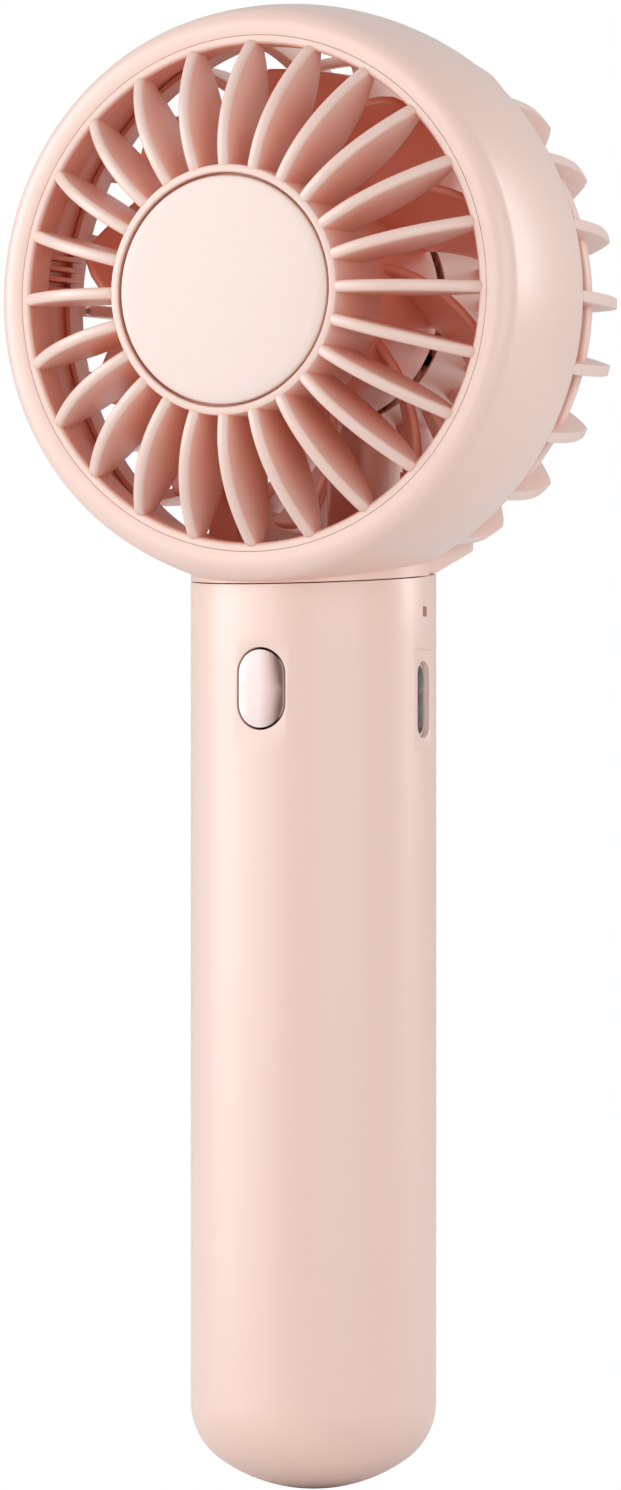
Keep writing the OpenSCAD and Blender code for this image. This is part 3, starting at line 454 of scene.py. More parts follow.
# moulded satin plastic: cloudy colour, fine grain, light handling marks, and where asked a painted shade of
# saturated red in closed-in places
def satinPlastic(name, values):
    material, tree, shader, place = newFinish(name)
    colour = values["colour"]
    cloud = noiseOf(tree, place, values["cloudScale"], 2.0)
    shift = values["cloudShift"]
    tint = rampOf(tree, cloud, [(0.3, shadeOf(colour, 1 - shift)), (0.7, shadeOf(colour, 1 + shift))])
    if values["hollow"]:    # painted shade: where occlusion finds the surface closed in, the colour turns a saturated red, standing in for shade and light bounced between the walls
        near = tree.nodes.new("ShaderNodeAmbientOcclusion")
        near.samples = 6
        near.inputs["Distance"].default_value = values["hollowReach"] * mm
        share = rangeOf(tree, near.outputs["AO"], values["hollow"], 0.0, 0.1, 0.75)
        mix = tree.nodes.new("ShaderNodeMix")
        mix.data_type = "RGBA"
        tree.links.new(share, mix.inputs["Factor"])
        tree.links.new(tint, mix.inputs["A"])
        mix.inputs["B"].default_value = (*values["paintedShadeColour"], 1)
        tint = mix.outputs["Result"]
    tree.links.new(tint, shader.inputs["Base Color"])
    smear = noiseOf(tree, place, values["smearScale"], 4.0, 0.6)
    rough, swing = values["rough"], values["roughShift"]
    tree.links.new(rangeOf(tree, smear, rough - swing, rough + swing), shader.inputs["Roughness"])
    grain = noiseOf(tree, place, values["grainScale"], 2.0)
    wave = noiseOf(tree, place, values["waveScale"], 1.0)
    bumpFrom(tree, shader, [(wave, 0.05, 0.1), (grain, values["grain"], 0.02)])
    shader.inputs["IOR"].default_value = 1.48
    shader.inputs["Specular IOR Level"].default_value = values["gloss"]
    shader.inputs["Coat Weight"].default_value = values["coat"]
    shader.inputs["Coat Roughness"].default_value = 0.4
    shader.inputs["Subsurface Weight"].default_value = values["glow"]
    shader.inputs["Subsurface Radius"].default_value = (1.0, 0.45, 0.3)
    shader.inputs["Subsurface Scale"].default_value = 0.0012
    return material


# the last three entries set the painted shade in closed-in places: its share, its reach in mm and its colour
blushValues = {
    "colour": (0.83, 0.597, 0.520), "cloudScale": 14, "cloudShift": 0.012,
    "rough": 0.34, "roughShift": 0.04, "smearScale": 60, "grainScale": 4200, "grain": 0.10, "waveScale": 55,
    "coat": 0.8, "gloss": 0.8, "glow": 0.0, "hollow": 0.0, "hollowReach": 22, "paintedShadeColour": (0.97, 0.34, 0.21),
}
blush = satinPlastic("blushShell", blushValues)
blushHead = satinPlastic("blushHead", {**blushValues, "hollow": 1.0})
blushCage = satinPlastic("blushCage", {**blushValues, "cloudScale": 22, "rough": 0.36, "hollow": 0.6})
blushCap = satinPlastic("blushCap", {**blushValues, "cloudScale": 30, "rough": 0.32,
                                     "colour": (0.81, 0.640, 0.575)})
blushBlades = satinPlastic("blushBlades", {**blushValues, "cloudScale": 26, "rough": 0.38, "hollow": 1.0})
print("finishes mixed")


handle = {
    "wall": 2.0, "endHeight": 10.6, "shoulder": 8.5, "slotWidth": 6.5, "slotHeight": 10.0,
    "portSlot": (3.4, 9.34), "portFlat": (5.0, 12.3), "windowSide": 1.2, "edge": 0.22,
    "rings": (118, 104, 90, 60, 30),
}


def jointPlane(shift):    # a point on the sloping joint and its normal
    rake = math.radians(fan["jointRake"])
    return Vector((0, 0, (fan["jointHeight"] + shift) * mm)), Vector((0, -math.sin(rake), math.cos(rake)))


def makeHandle(values):
    radius = fan["handleRadius"]
    shoulder, endHeight = values["shoulder"], values["endHeight"]
    crown = ((radius - shoulder) ** 2 + endHeight ** 2 - shoulder ** 2) / (2 * (endHeight - shoulder))
    turn = math.degrees(math.atan2(endHeight - crown, radius - shoulder))
    outline = [(radius, level) for level in values["rings"]] + [(radius, endHeight)]
    outline += arcPoints(radius - shoulder, endHeight, shoulder, 0, turn, 14)[1:]
    outline += arcPoints(0, crown, crown, turn, -90, 14)[1:]
    shell = turned("handleShell", outline, 144)
    intoEdit(shell)
    bpy.ops.mesh.select_all(action="SELECT")
    spot, normal = jointPlane(0)
    bpy.ops.mesh.bisect(plane_co=spot, plane_no=normal, clear_outer=True)
    bpy.ops.mesh.select_all(action="SELECT")
    bpy.ops.mesh.normals_make_consistent(inside=False)
    outOfEdit()
    thicken(shell, values["wall"], -1.0)
    height = fan["portHeight"]
    boolWith(shell, stadium("slotCutter", (values["slotWidth"], 8, values["slotHeight"]),
                            (0, -radius, fan["buttonHeight"]), "y", 14))
    flatX = math.sqrt(radius ** 2 - (values["portFlat"][0] / 2) ** 2)
    half = values["portFlat"][1] / 2
    boolWith(shell, block("flatCutter", (flatX, -6, height - half), (radius + 4, 6, height + half)))
    boolWith(shell, stadium("portCutter", (8, *values["portSlot"]), (radius, 0, height), "x", 12))
    side, level = values["windowSide"] / 2, fan["lightHeight"]
    low, high = (radius - 3, -side, level - side), (radius + 2, side, level + side)
    boolWith(shell, block("windowCutter", low, high))
    softEdges(shell, values["edge"], 2, 40)
    finishPiece(shell, blush, "fan_body", "shell", "handle_shell")
    return shell


makeHandle(handle)
print("handle made")


drum = {
    "crownRadius": 45.0, "crownFront": 5.0, "back": 1.5, "front": 17.5, "lip": 2.3, "bore": 33.6,
    "seat": 31.0, "seatDepth": 4.5, "step": 30.4, "stepThickness": 1.2, "edge": 0.08, "gap": 0.15,
    "chinStart": 6.5, "chinRise": 15, "spigotRadius": 12.9, "spigotWall": 1.8, "spigotLength": 8,
    "neckLow": 104.0, "neckTop": 124.0, "neckWall": 3.9,
    "combBars": 4, "combLow": 1.4, "combStep": 1.3, "combBar": 0.6, "combDepth": 1.9, "combFront": 8.8,
}


def lipPlace(values):    # centre of the rim's rounding and where it meets the crown
    crownMiddle = fan["headRadius"] - values["crownRadius"]
    lipFront = values["front"] - values["lip"]
    reach = values["crownRadius"] - values["lip"]
    lipMiddle = crownMiddle + math.sqrt(reach ** 2 - (lipFront - values["crownFront"]) ** 2)
    turn = math.degrees(math.asin((lipFront - values["crownFront"]) / reach))
    return crownMiddle, lipMiddle, lipFront, turn


def drumSide(values, inset=0.0):
    crownMiddle, _, _, turn = lipPlace(values)
    front, radius = values["crownFront"], values["crownRadius"]
    backTurn = math.degrees(math.asin((-values["back"] - front) / radius))
    return arcPoints(crownMiddle, front, radius - inset, backTurn, turn, 26)


def chinPlane(shift):    # the sloping seat between the neck and the chin
    rise = math.radians(drum["chinRise"])
    joint = fan["jointHeight"] + math.tan(math.radians(fan["jointRake"])) * drum["chinStart"]
    spot = Vector((0, drum["chinStart"] * mm, (joint + shift) * mm))
    return spot, Vector((0, -math.sin(rise), math.cos(rise)))


# the neck is taller in front of the drum's back than the chin's seat, so it is made in two halves
def makeNeck(values):
    radius, low, top = fan["handleRadius"], values["neckLow"], values["neckTop"]
    inner = radius - values["neckWall"]
    outline = [(radius, low), (radius, low + 9), (radius, top), (inner, top), (inner, low)]
    halves = []
    for part in ("front", "rear"):
        neck = turned("neck", outline, 144, True)
        cuts = [(*jointPlane(values["gap"]), True, False)]
        split = (Vector((0, values["back"] * mm, 0)), Vector((0, 1, 0)))
        if part == "front":
            cuts.append((*split, False, True))
        else:
            cuts.append((*split, True, False))
            cuts.append((*chinPlane(0), False, True))
        for spot, normal, clearLow, clearHigh in cuts:
            intoEdit(neck)
            bpy.ops.mesh.select_all(action="SELECT")
            bpy.ops.mesh.bisect(plane_co=spot, plane_no=normal, use_fill=True,
                                clear_inner=clearLow, clear_outer=clearHigh)
            outOfEdit()
        halves.append(neck)
    front, rear = halves
    filled = drumSide(values, 1.0)
    filled = [(filled[0][0] - 0.4, filled[0][1])] + filled + [(filled[-1][0] - 0.4, filled[-1][1])]
    core = turned("drumCore", [(0.5, -values["back"])] + filled + [(0.5, values["front"] - 0.8)], 224, True)
    faceFan(core)
    boolWith(front, core)
    return [front, rear]


def makeHead(values):
    _, lipMiddle, lipFront, turn = lipPlace(values)
    outline = drumSide(values)
    outline += arcPoints(lipMiddle, lipFront, values["lip"], turn, 90, 12)[1:]
    outline += [(values["seat"], values["front"])]
    seatFront = values["front"] - values["seatDepth"]
    stepBack = seatFront - values["stepThickness"]
    outline += [(values["seat"], seatFront), (values["step"], seatFront), (values["step"], stepBack)]
    outline += [(values["bore"], stepBack - 3.2), (values["bore"], 5.0), (values["bore"], -values["back"])]
    ring = faceFan(turned("drumRing", outline, 224, True))
    softEdges(ring, values["edge"], 2, 50)
    radius, inner = values["spigotRadius"], values["spigotRadius"] - values["spigotWall"]
    low, high = fan["jointHeight"] - values["spigotLength"], fan["jointHeight"] + 1.5
    outline = [(radius - 0.3, low), (radius, low + 0.4), (radius, high), (inner, high), (inner, low)]
    spigot = turned("spigot", outline, 96, True)
    parts = [ring] + makeNeck(values) + [spigot]
    # combs of short bars on the inner wall, at both sides
    for side in (-1, 1):
        for k in range(values["combBars"]):
            level = fan["axisHeight"] + values["combLow"] + k * values["combStep"] - side * 0.3
            inner, outer = values["bore"] - values["combDepth"], values["bore"] + 0.3
            near, far = sorted((side * inner, side * outer))
            low, high = (near, -values["combFront"], level), (far, 0, level + values["combBar"])
            parts.append(block("combBar", low, high, 0.12, 2))
    head = joinAll("headDrum", parts)
    finishPiece(head, blushHead, "fan_body", "shell", "head_drum")
    return head


makeHead(drum)
print("drum and neck made")


grille = {
    "ringRadius": 30.97, "ringDepth": 4.45, "hubWall": 1.0, "recess": 1.6, "ledge": 1.4,
    "ledgeThickness": 2.0, "hubBack": 12.4, "ribRound": 0.6, "ribSag": 0.9, "ribBelly": 3.8, "edge": 0.25,
}


def hubOutline(back, front, values):
    radius = fan["hubRadius"]
    inner = radius - values["hubWall"]
    ledge = inner - values["ledge"]
    seat = front - values["recess"]
    under = seat - values["ledgeThickness"]
    return [(radius, back), (radius, (back + front) / 2), (radius, front - 0.35),
            (radius - 0.12, front - 0.1), (radius - 0.35, front), (inner + 0.15, front),
            (inner, front - 0.15), (inner, seat), (ledge, seat), (ledge, under),
            (inner, under - values["ledge"]), (inner, back)]


def makeRib(values):
    reach, front = fan["reach"], drum["front"]
    root, tip = fan["hubRadius"] - 0.5, fan["ductRadius"] + 0.5
    middle = (root + tip) / 2
    high = bowPoints((root, reach), (middle, reach - values["ribSag"]), (tip, front + 0.15), 16)
    low = bowPoints((root, front + 0.3), (middle, front - values["ribBelly"]), (tip, front - 2.2), 16)
    stations = [(a[0], b[1], a[1]) for a, b in zip(high, low)]
    rib = stripAlong("rib", stations)
    thicken(rib, fan["ribThickness"])
    softEdges(rib, values["ribRound"], 4, 50)
    return rib


def makeGrille(values):
    ring, duct = values["ringRadius"], fan["ductRadius"]
    seat = drum["front"] - values["ringDepth"]
    round, front = values["edge"] * 2, drum["front"]
    outline = [(ring, seat), (ring, front - 0.04), (ring - 0.04, front), (ring - 0.3, front)]
    outline += arcPoints(duct + round, front - round, round, 90, 180, 8)
    outline += [(duct, seat)]
    parts = [turned("grilleRing", outline, 224, True)]
    parts.append(turned("hubRing", hubOutline(values["hubBack"], fan["reach"], values), 160, True))
    parts += ringOf(makeRib(values), [i * 360 / fan["ribs"] for i in range(fan["ribs"])])
    whole = faceFan(joinAll("frontGrille", parts))
    finishPiece(whole, blushCage, "fan_body", "cage", "front_grille", angle=40)


makeGrille(grille)

cap = {"gap": 0.35, "dome": 0.6, "recess": 1.6, "skirt": 3.0, "skirtWall": 0.9}


def makeCap(name, values):
    radius = fan["hubRadius"] - grille["hubWall"] - values["gap"]
    ball = (radius ** 2 + values["dome"] ** 2) / (2 * values["dome"])
    rim = fan["reach"] - 0.1
    base = fan["reach"] - values["recess"]
    under = base - values["skirt"]
    skirt = fan["hubRadius"] - grille["hubWall"] - grille["ledge"] - 0.1
    start = math.degrees(math.acos((radius - 0.35) / ball))
    outline = [(skirt - values["skirtWall"], under), (skirt, under), (skirt, base), (radius, base),
               (radius, rim - 0.28), (radius - 0.06, rim - 0.12), (radius - 0.18, rim - 0.02)]
    outline += arcPoints(0, rim + values["dome"] - ball, ball, start, 90, 14)
    piece = turned(name, outline, 160)
    intoEdit(piece)    # close the underside
    pickVerts(piece, lambda co: abs(co.z - under) < 0.01 and math.hypot(co.x, co.y) < skirt - 0.5)
    bpy.ops.mesh.extrude_region_move(TRANSFORM_OT_translate={"value": (0, 0, values["skirt"] * mm)})
    bpy.ops.mesh.edge_face_add()
    bpy.ops.mesh.select_all(action="SELECT")
    bpy.ops.mesh.normals_make_consistent(inside=False)
    outOfEdit()
    return piece


frontCap = faceFan(makeCap("hubCap", cap))
finishPiece(frontCap, blushCap, "fan_body", "cap", "hub_cap", angle=40)
rearCap = makeCap("rearHubCap", cap)
rearCap.rotation_euler = (math.radians(180), 0, 0)
settle(rearCap)
faceFan(rearCap)
finishPiece(rearCap, blushCap, "fan_body", "cap", "rear_hub_cap", angle=40)
print("front grille and caps made")


cage = {
    "start": -1.6, "rimThickness": 0.9, "rimRadius": 34.2,
    "sleeve": 33.5, "sleeveInner": 32.9, "sleeveLength": 3.0,
    "hoopFront": -12.0, "hoopRadius": 31.3, "hoopThickness": 1.3, "hoopWidth": 1.8, "hoopRound": 0.35,
    "cupFront": -6.4, "cupFloor": 1.2, "floorBore": 3.6, "finReach": 32.0, "finRound": 0.6, "finSteps": 22,
    "chinHalf": 13.5, "chinBack": 21.5, "chinTop": 16, "chinCorner": 5.0, "chinBore": 28.4, "chinEdge": 0.7,
    "spoke": (5.6, 9.0, 17.0),
}


def makeFin(values):
    hub, back = fan["hubRadius"], -fan["reach"]
    hoop, hoopFront = values["hoopRadius"], values["hoopFront"]
    rim, start, wide = values["rimRadius"], values["start"], values["finReach"]
    inner = bowPoints((rim - 1.1, start - 0.4), (hoop + 0.6, hoopFront + 4.2), (hoop - 1.4, hoopFront), 8)
    inner += bowPoints((hoop - 2.3, hoopFront - 0.7), ((hub + hoop) / 2, hoopFront - 3),
                       (hub - 0.5, hoopFront - 5), 8)
    outer = bowPoints((hub - 0.5, back), ((hub + wide) / 2, back + 0.4), (wide - 3, back + 2.3), 8)
    outer += bowPoints((wide - 1.5, back + 3.5), (wide - 0.5, back + 4.6), (wide, back + 6), 4)
    outer += bowPoints((wide + 0.5, back + 7.8), (rim - 0.5, hoopFront + 1), (rim - 0.1, start - 0.4), 8)
    outer.reverse()
    # walk both sides in step, so that each station is one edge of the strip
    count = values["finSteps"]
    pairs = [(alongPath(inner, i / count), alongPath(outer, i / count)) for i in range(count + 1)]
    clearSelection()
    bpy.ops.mesh.primitive_plane_add(size=1, rotation=(math.radians(90), 0, 0))
    fin = bpy.context.object
    fin.name = "fin"
    settle(fin)
    intoEdit(fin)
    pickVerts(fin, lambda co: co.x > 0)
    bpy.ops.mesh.delete(type="VERT")
    bpy.ops.mesh.select_all(action="SELECT")
    for number in range(count):
        bpy.ops.mesh.extrude_region_move(TRANSFORM_OT_translate={"value": (mm, 0, 0)})
    shape = bmesh.from_edit_mesh(fin.data)
    shape.verts.ensure_lookup_table()
    for number, pair in enumerate(pairs):    # its verts come in pairs, in the order they were drawn out
        for side in (0, 1):
            x, z = pair[side]
            shape.verts[2 * number + side].co = Vector((x * mm, 0, z * mm))
    bmesh.update_edit_mesh(fin.data)
    outOfEdit()
    thicken(fin, fan["ribThickness"])
    softEdges(fin, values["finRound"], 4, 50)
    return fin


def alongPath(points, share):    # the point at a share of the whole length
    lengths = [0.0]
    for a, b in zip(points, points[1:]):
        lengths.append(lengths[-1] + math.dist(a, b))
    target = share * lengths[-1]
    for k in range(1, len(points)):
        if lengths[k] >= target - 1e-9:
            t = (target - lengths[k - 1]) / max(1e-9, lengths[k] - lengths[k - 1])
            return tuple(points[k - 1][i] + (points[k][i] - points[k - 1][i]) * t for i in (0, 1))
    return points[-1]


def makeChin(values):
    low = (-values["chinHalf"], drum["back"] + 0.1, fan["jointHeight"])
    high = (values["chinHalf"], values["chinBack"], fan["jointHeight"] + values["chinTop"])
    chin = block("chin", low, high)
    intoEdit(chin, "EDGE")
    pickEdges(chin, lambda a, b: a.y > 20 and b.y > 20 and abs(a.z - b.z) > 5)
    bpy.ops.mesh.bevel(offset=values["chinCorner"] * mm, segments=10, affect="EDGES")
    bpy.ops.mesh.select_all(action="SELECT")
    spot, normal = chinPlane(drum["gap"])
    bpy.ops.mesh.bisect(plane_co=spot, plane_no=normal, use_fill=True, clear_inner=True)
    bpy.ops.mesh.select_all(action="SELECT")
    spot, normal = jointPlane(drum["gap"])
    bpy.ops.mesh.bisect(plane_co=spot, plane_no=normal, use_fill=True, clear_inner=True)
    outOfEdit()
    radius = values["chinBore"]
    bore = turned("chinBore", [(0.5, -40), (radius, -40), (radius, 20), (0.5, 20)], 192, True)
    boolWith(chin, faceFan(bore))
    softEdges(chin, values["chinEdge"], 3, 35)
    return chin


def trimFins(fins, values):    # level with the chin's underside where they run into it
    for fin in fins:
        corners = [fin.matrix_world @ Vector(c) for c in fin.bound_box]
        low = min(c.z for c in corners) / mm
        wide = max(abs(c.x) for c in corners) / mm
        if low < fan["jointHeight"] + 8 and wide < values["chinHalf"] + 1:
            intoEdit(fin)
            bpy.ops.mesh.select_all(action="SELECT")
            spot, normal = chinPlane(drum["gap"] + 0.3)
            bpy.ops.mesh.bisect(plane_co=spot, plane_no=normal, use_fill=True, clear_inner=True)
            outOfEdit()


def makeCage(values):
    start, rim, back = values["start"], values["rimRadius"], values["start"] - values["rimThickness"]
    sleeve, inner, reach = values["sleeve"], values["sleeveInner"], values["start"] + values["sleeveLength"]
    outline = [(inner, reach), (sleeve, reach), (sleeve, start), (rim, start), (rim, start - 0.4),
               (rim - 0.3, start - 0.8), (rim - 0.6, back), (inner + 0.2, back), (inner, start - 0.6)]
    rimRing = turned("cageRim", outline, 192, True)
    hoop, front = values["hoopRadius"], values["hoopFront"]
    inner, back = hoop - values["hoopThickness"], front - values["hoopWidth"]
    hoopRing = turned("hoop", [(inner, front), (hoop, front), (hoop, back), (inner, back)], 192, True)
    softEdges(hoopRing, values["hoopRound"], 3, 40)
    cup = turned("rearCup", hubOutline(-values["cupFront"], fan["reach"], grille), 160, True)
    cup.rotation_euler = (math.radians(180), 0, 0)
    settle(cup)
    bore, radius = values["floorBore"], fan["hubRadius"] - 0.02
    top, under = values["cupFront"], values["cupFront"] - values["cupFloor"]
    floor = turned("cupFloor", [(bore, top), (radius, top), (radius, under), (bore, under)], 160, True)
    softEdges(floor, 0.2, 2, 50)
    parts = [rimRing, hoopRing, cup, floor]
    turns = [i * 360 / fan["ribs"] for i in range(fan["ribs"])]
    fins = ringOf(makeFin(values), turns)
    for piece in parts:
        faceFan(piece)
    for fin in fins:
        faceFan(fin)
    trimFins(fins, values)
    wide, near, far = values["spoke"]
    top = fan["axisHeight"] - fan["hubRadius"] + 0.5
    spoke = block("spoke", (-wide / 2, near, fan["jointHeight"] + 4), (wide / 2, far, top), 1.0, 3)
    whole = joinAll("rearGrille", parts + fins + [spoke, makeChin(values)])
    finishPiece(whole, blushCage, "fan_body", "cage", "rear_grille", angle=40)


makeCage(cage)
print("rear cage made")


impeller = {
    "radius": 14.8, "wall": 1.2, "front": 11.9, "back": -4.5, "bore": 2.95, "blades": 10, "tip": 27.8,
    "bladeFront": 10.8, "bladeBack": -3.6, "wrap": 24, "sweep": 24, "start": 86,
    "thickness": 1.1, "bladeRound": 0.45,
    "spans": (0, 0.15, 0.3, 0.45, 0.6, 0.72, 0.84, 0.93, 1.0),
    "chords": (1, 1, 1, 0.99, 0.97, 0.94, 0.88, 0.79, 0.64),
}


def makeBlade(values):
    root, tip = values["radius"] - 0.6, values["tip"]
    middle = (values["bladeFront"] + values["bladeBack"]) / 2
    half = (values["bladeFront"] - values["bladeBack"]) / 2
    stations = [(root + (tip - root) * s, middle - half * c, middle + half * c)
                for s, c in zip(values["spans"], values["chords"])]
    blade = stripAlong("blade", stations, 10)
    # sweep: each station turns back a little more than the one inside it
    intoEdit(blade)
    for share, station in zip(values["spans"], stations):
        pickVerts(blade, lambda co: abs(math.hypot(co.x, co.y) - station[0]) < 0.05)
        turnSelected(blade, values["start"] - values["sweep"] * share)
    outOfEdit()
    # wrap: rows turn ahead from the back edge to the front one
    intoEdit(blade)
    shape = bmesh.from_edit_mesh(blade.data)
    heights = sorted({round(v.co.z / mm, 3) for v in shape.verts})
    for height in heights:
        lag = values["wrap"] * (values["bladeFront"] - height) / (2 * half)
        pickVerts(blade, lambda co: abs(co.z - height) < 0.0006)
        turnSelected(blade, -lag)
    outOfEdit()
    thicken(blade, values["thickness"])
    softEdges(blade, values["bladeRound"], 3, 50)
    return blade


def turnSelected(piece, degrees):    # about the fan's axis, counter-clockwise seen from the front
    shape = bmesh.from_edit_mesh(piece.data)
    chosen = [v for v in shape.verts if v.select]
    turn = Matrix.Rotation(math.radians(degrees), 3, "Z")
    bmesh.ops.rotate(shape, cent=(0, 0, 0), matrix=turn, verts=chosen)
    bmesh.update_edit_mesh(piece.data)


def makeImpeller(values):
    radius, wall, front = values["radius"], values["wall"], values["front"]
    back, bore = values["back"], values["bore"]
    outline = [(radius, back), (radius, 4.0), (radius, front - 0.8), (radius - 0.25, front - 0.25),
               (radius - 0.8, front), (bore, front), (bore, front - wall),
               (radius - wall, front - wall), (radius - wall, back)]
    parts = [turned("impellerHub", outline, 160, True)]
    parts += ringOf(makeBlade(values), [i * 360 / values["blades"] for i in range(values["blades"])])
    whole = faceFan(joinAll("impeller", parts))
    finishPiece(whole, blushBlades, "impeller", "blades", "impeller", angle=40)


makeImpeller(impeller)
print("impeller made")


button = {"gap": 0.3, "back": 11.7, "edge": 0.55, "flange": 1.0, "flangeRim": 1.0, "post": 1.75}


def makeButton(values):
    wide, tall = (handle[side] - 2 * values["gap"] for side in ("slotWidth", "slotHeight"))
    height, radius, back = fan["buttonHeight"], fan["handleRadius"], -values["back"]
    capPiece = stadium("buttonCap", (wide, 8, tall), (0, back - 4, height), "y", 18)
    low, high = height - 9, height + 9
    outline = [(0.5, low), (radius, low), (radius, height), (radius, high), (0.5, high)]
    boolWith(capPiece, turned("crownCutter", outline, 160, True), "INTERSECT")
    softEdges(capPiece, values["edge"], 5, 40)
    flangeBack, rim = back + values["flange"], 2 * values["flangeRim"]
    middle = (0, (back + flangeBack) / 2, height)
    flange = stadium("flange", (wide + rim, values["flange"], tall + rim), middle)
    low, high, thick = capHigh.y / mm, flangeBack, values["post"]
    post = turned("post", [(thick - 0.2, -low), (thick, -low + 0.2), (thick, -high + 0.3)], 32)
    intoEdit(post)
    pickVerts(post, lambda co: abs(co.z + low) < 0.01)
    bpy.ops.mesh.edge_face_add()
    outOfEdit()
    post.rotation_euler = (math.radians(90), 0, 0)
    post.location = (0, 0, height * mm)
    settle(post)
    return joinAll("buttonCap", [capPiece, flange, post])


# mirror-like lacquer whose colour carries a painted reflection: pale where the surface faces -X, turning to
# a dark brown on its +X flank, with a thin pale painted highlight at the far +X rim
def pearlPlastic(name, values):
    material, tree, shader, place = newFinish(name)
    facing = tree.nodes.new("ShaderNodeSeparateXYZ")
    source = [node for node in tree.nodes if node.bl_idname == "ShaderNodeTexCoord"][0]
    tree.links.new(source.outputs["Normal"], facing.inputs["Vector"])
    across = rangeOf(tree, facing.outputs["X"], 0.0, 1.0, -1.0, 1.0)
    # painted reflection: the colour follows which way the surface faces along X
    paintedReflection = rampOf(tree, across, values["paintedReflection"])
    cloud = noiseOf(tree, place, 220, 3.0)
    speck = rampOf(tree, cloud, [(0.3, (0.93, 0.93, 0.93)), (0.7, (1, 1, 1))])
    mix = tree.nodes.new("ShaderNodeMix")
    mix.data_type = "RGBA"
    mix.blend_type = "MULTIPLY"
    mix.inputs["Factor"].default_value = 1.0
    tree.links.new(paintedReflection, mix.inputs["A"])
    tree.links.new(speck, mix.inputs["B"])
    depth = tree.nodes.new("ShaderNodeSeparateXYZ")    # painted shade: behind the rounded edge the flange and post are coloured near black, standing in for the shadow in the gap around the button
    tree.links.new(place, depth.inputs["Vector"])
    side = values["gapShadeFrom"]
    under = tree.nodes.new("ShaderNodeMix")
    under.data_type = "RGBA"
    tree.links.new(rangeOf(tree, depth.outputs["Y"], 0.0, 1.0, (side - 0.1) * mm, (side + 0.1) * mm),
                   under.inputs["Factor"])
    tree.links.new(mix.outputs["Result"], under.inputs["A"])
    under.inputs["B"].default_value = (*values["paintedGapShade"], 1)
    tree.links.new(under.outputs["Result"], shader.inputs["Base Color"])
    smear = noiseOf(tree, place, 700, 3.0)
    rough = values["rough"]
    tree.links.new(rangeOf(tree, smear, rough - 0.02, rough + 0.03), shader.inputs["Roughness"])
    wave = noiseOf(tree, place, 260, 1.0)
    bumpFrom(tree, shader, [(wave, 0.003, 0.02)])
    shader.inputs["Metallic"].default_value = values["metal"]
    shader.inputs["Coat Weight"].default_value = 0.2
    shader.inputs["Coat Roughness"].default_value = 0.06
    return material


# the facing ramp is a painted reflection: pale towards -X, near black brown towards +X, and a pale painted
# highlight on the far +X rim
pearl = pearlPlastic("pearlButton", {
    # from -14.1 mm back the button is painted near black, as shade in the gap around it
    "rough": 0.3, "metal": 0.2, "gapShadeFrom": -14.1, "paintedGapShade": (0.03, 0.012, 0.01),
    "paintedReflection": [(0.30, (0.84, 0.72, 0.70)), (0.50, (0.82, 0.66, 0.63)), (0.56, (0.60, 0.42, 0.38)),
              (0.60, (0.20, 0.10, 0.08)), (0.86, (0.14, 0.07, 0.06)), (0.95, (0.80, 0.72, 0.70))]})
finishPiece(makeButton(button), pearl, "button", "button", "button_cap", angle=35)
print("button made")


def workedMetal(name, values):
    material, tree, shader, place = newFinish(name)
    colour = values["colour"]
    streak = noiseOf(tree, place, values["scale"], 4.0, 0.6, values["stretch"])
    tree.links.new(rampOf(tree, streak, [(0.25, shadeOf(colour, 0.82)), (0.75, shadeOf(colour, 1.1))]),
                   shader.inputs["Base Color"])
    rough = values["rough"]
    tree.links.new(rangeOf(tree, streak, rough - 0.06, rough + 0.1), shader.inputs["Roughness"])
    bumpFrom(tree, shader, [(streak, values["bump"], 0.02)])
    shader.inputs["Metallic"].default_value = 1.0
    return material


mouldValues = {**blushValues, "cloudScale": 60, "cloudShift": 0.06, "coat": 0.0, "gloss": 0.5,
               "grain": 0.25, "grainScale": 3000}


def plainMould(name, values):
    return satinPlastic(name, {**mouldValues, **values})


def boardMask(name, values):
    material, tree, shader, place = newFinish(name)
    colour = values["colour"]
    tracks = tree.nodes.new("ShaderNodeTexBrick")
    tracks.inputs["Scale"].default_value = values["tracks"]
    tracks.inputs["Mortar Size"].default_value = 0.012
    tracks.inputs["Color1"].default_value = (*colour, 1)
    tracks.inputs["Color2"].default_value = (*shadeOf(colour, 0.8), 1)
    tracks.inputs["Mortar"].default_value = (*shadeOf(colour, 1.7), 1)
    turn = tree.nodes.new("ShaderNodeMapping")
    turn.inputs["Rotation"].default_value = (math.radians(90), 0, 0)
    tree.links.new(place, turn.inputs["Vector"])
    tree.links.new(turn.outputs["Vector"], tracks.inputs["Vector"])
    tree.links.new(tracks.outputs["Color"], shader.inputs["Base Color"])
    smear = noiseOf(tree, place, 300, 3.0)
    tree.links.new(rangeOf(tree, smear, 0.25, 0.4), shader.inputs["Roughness"])
    bumpFrom(tree, shader, [(tracks.outputs["Fac"], 0.3, 0.03)])
    return material


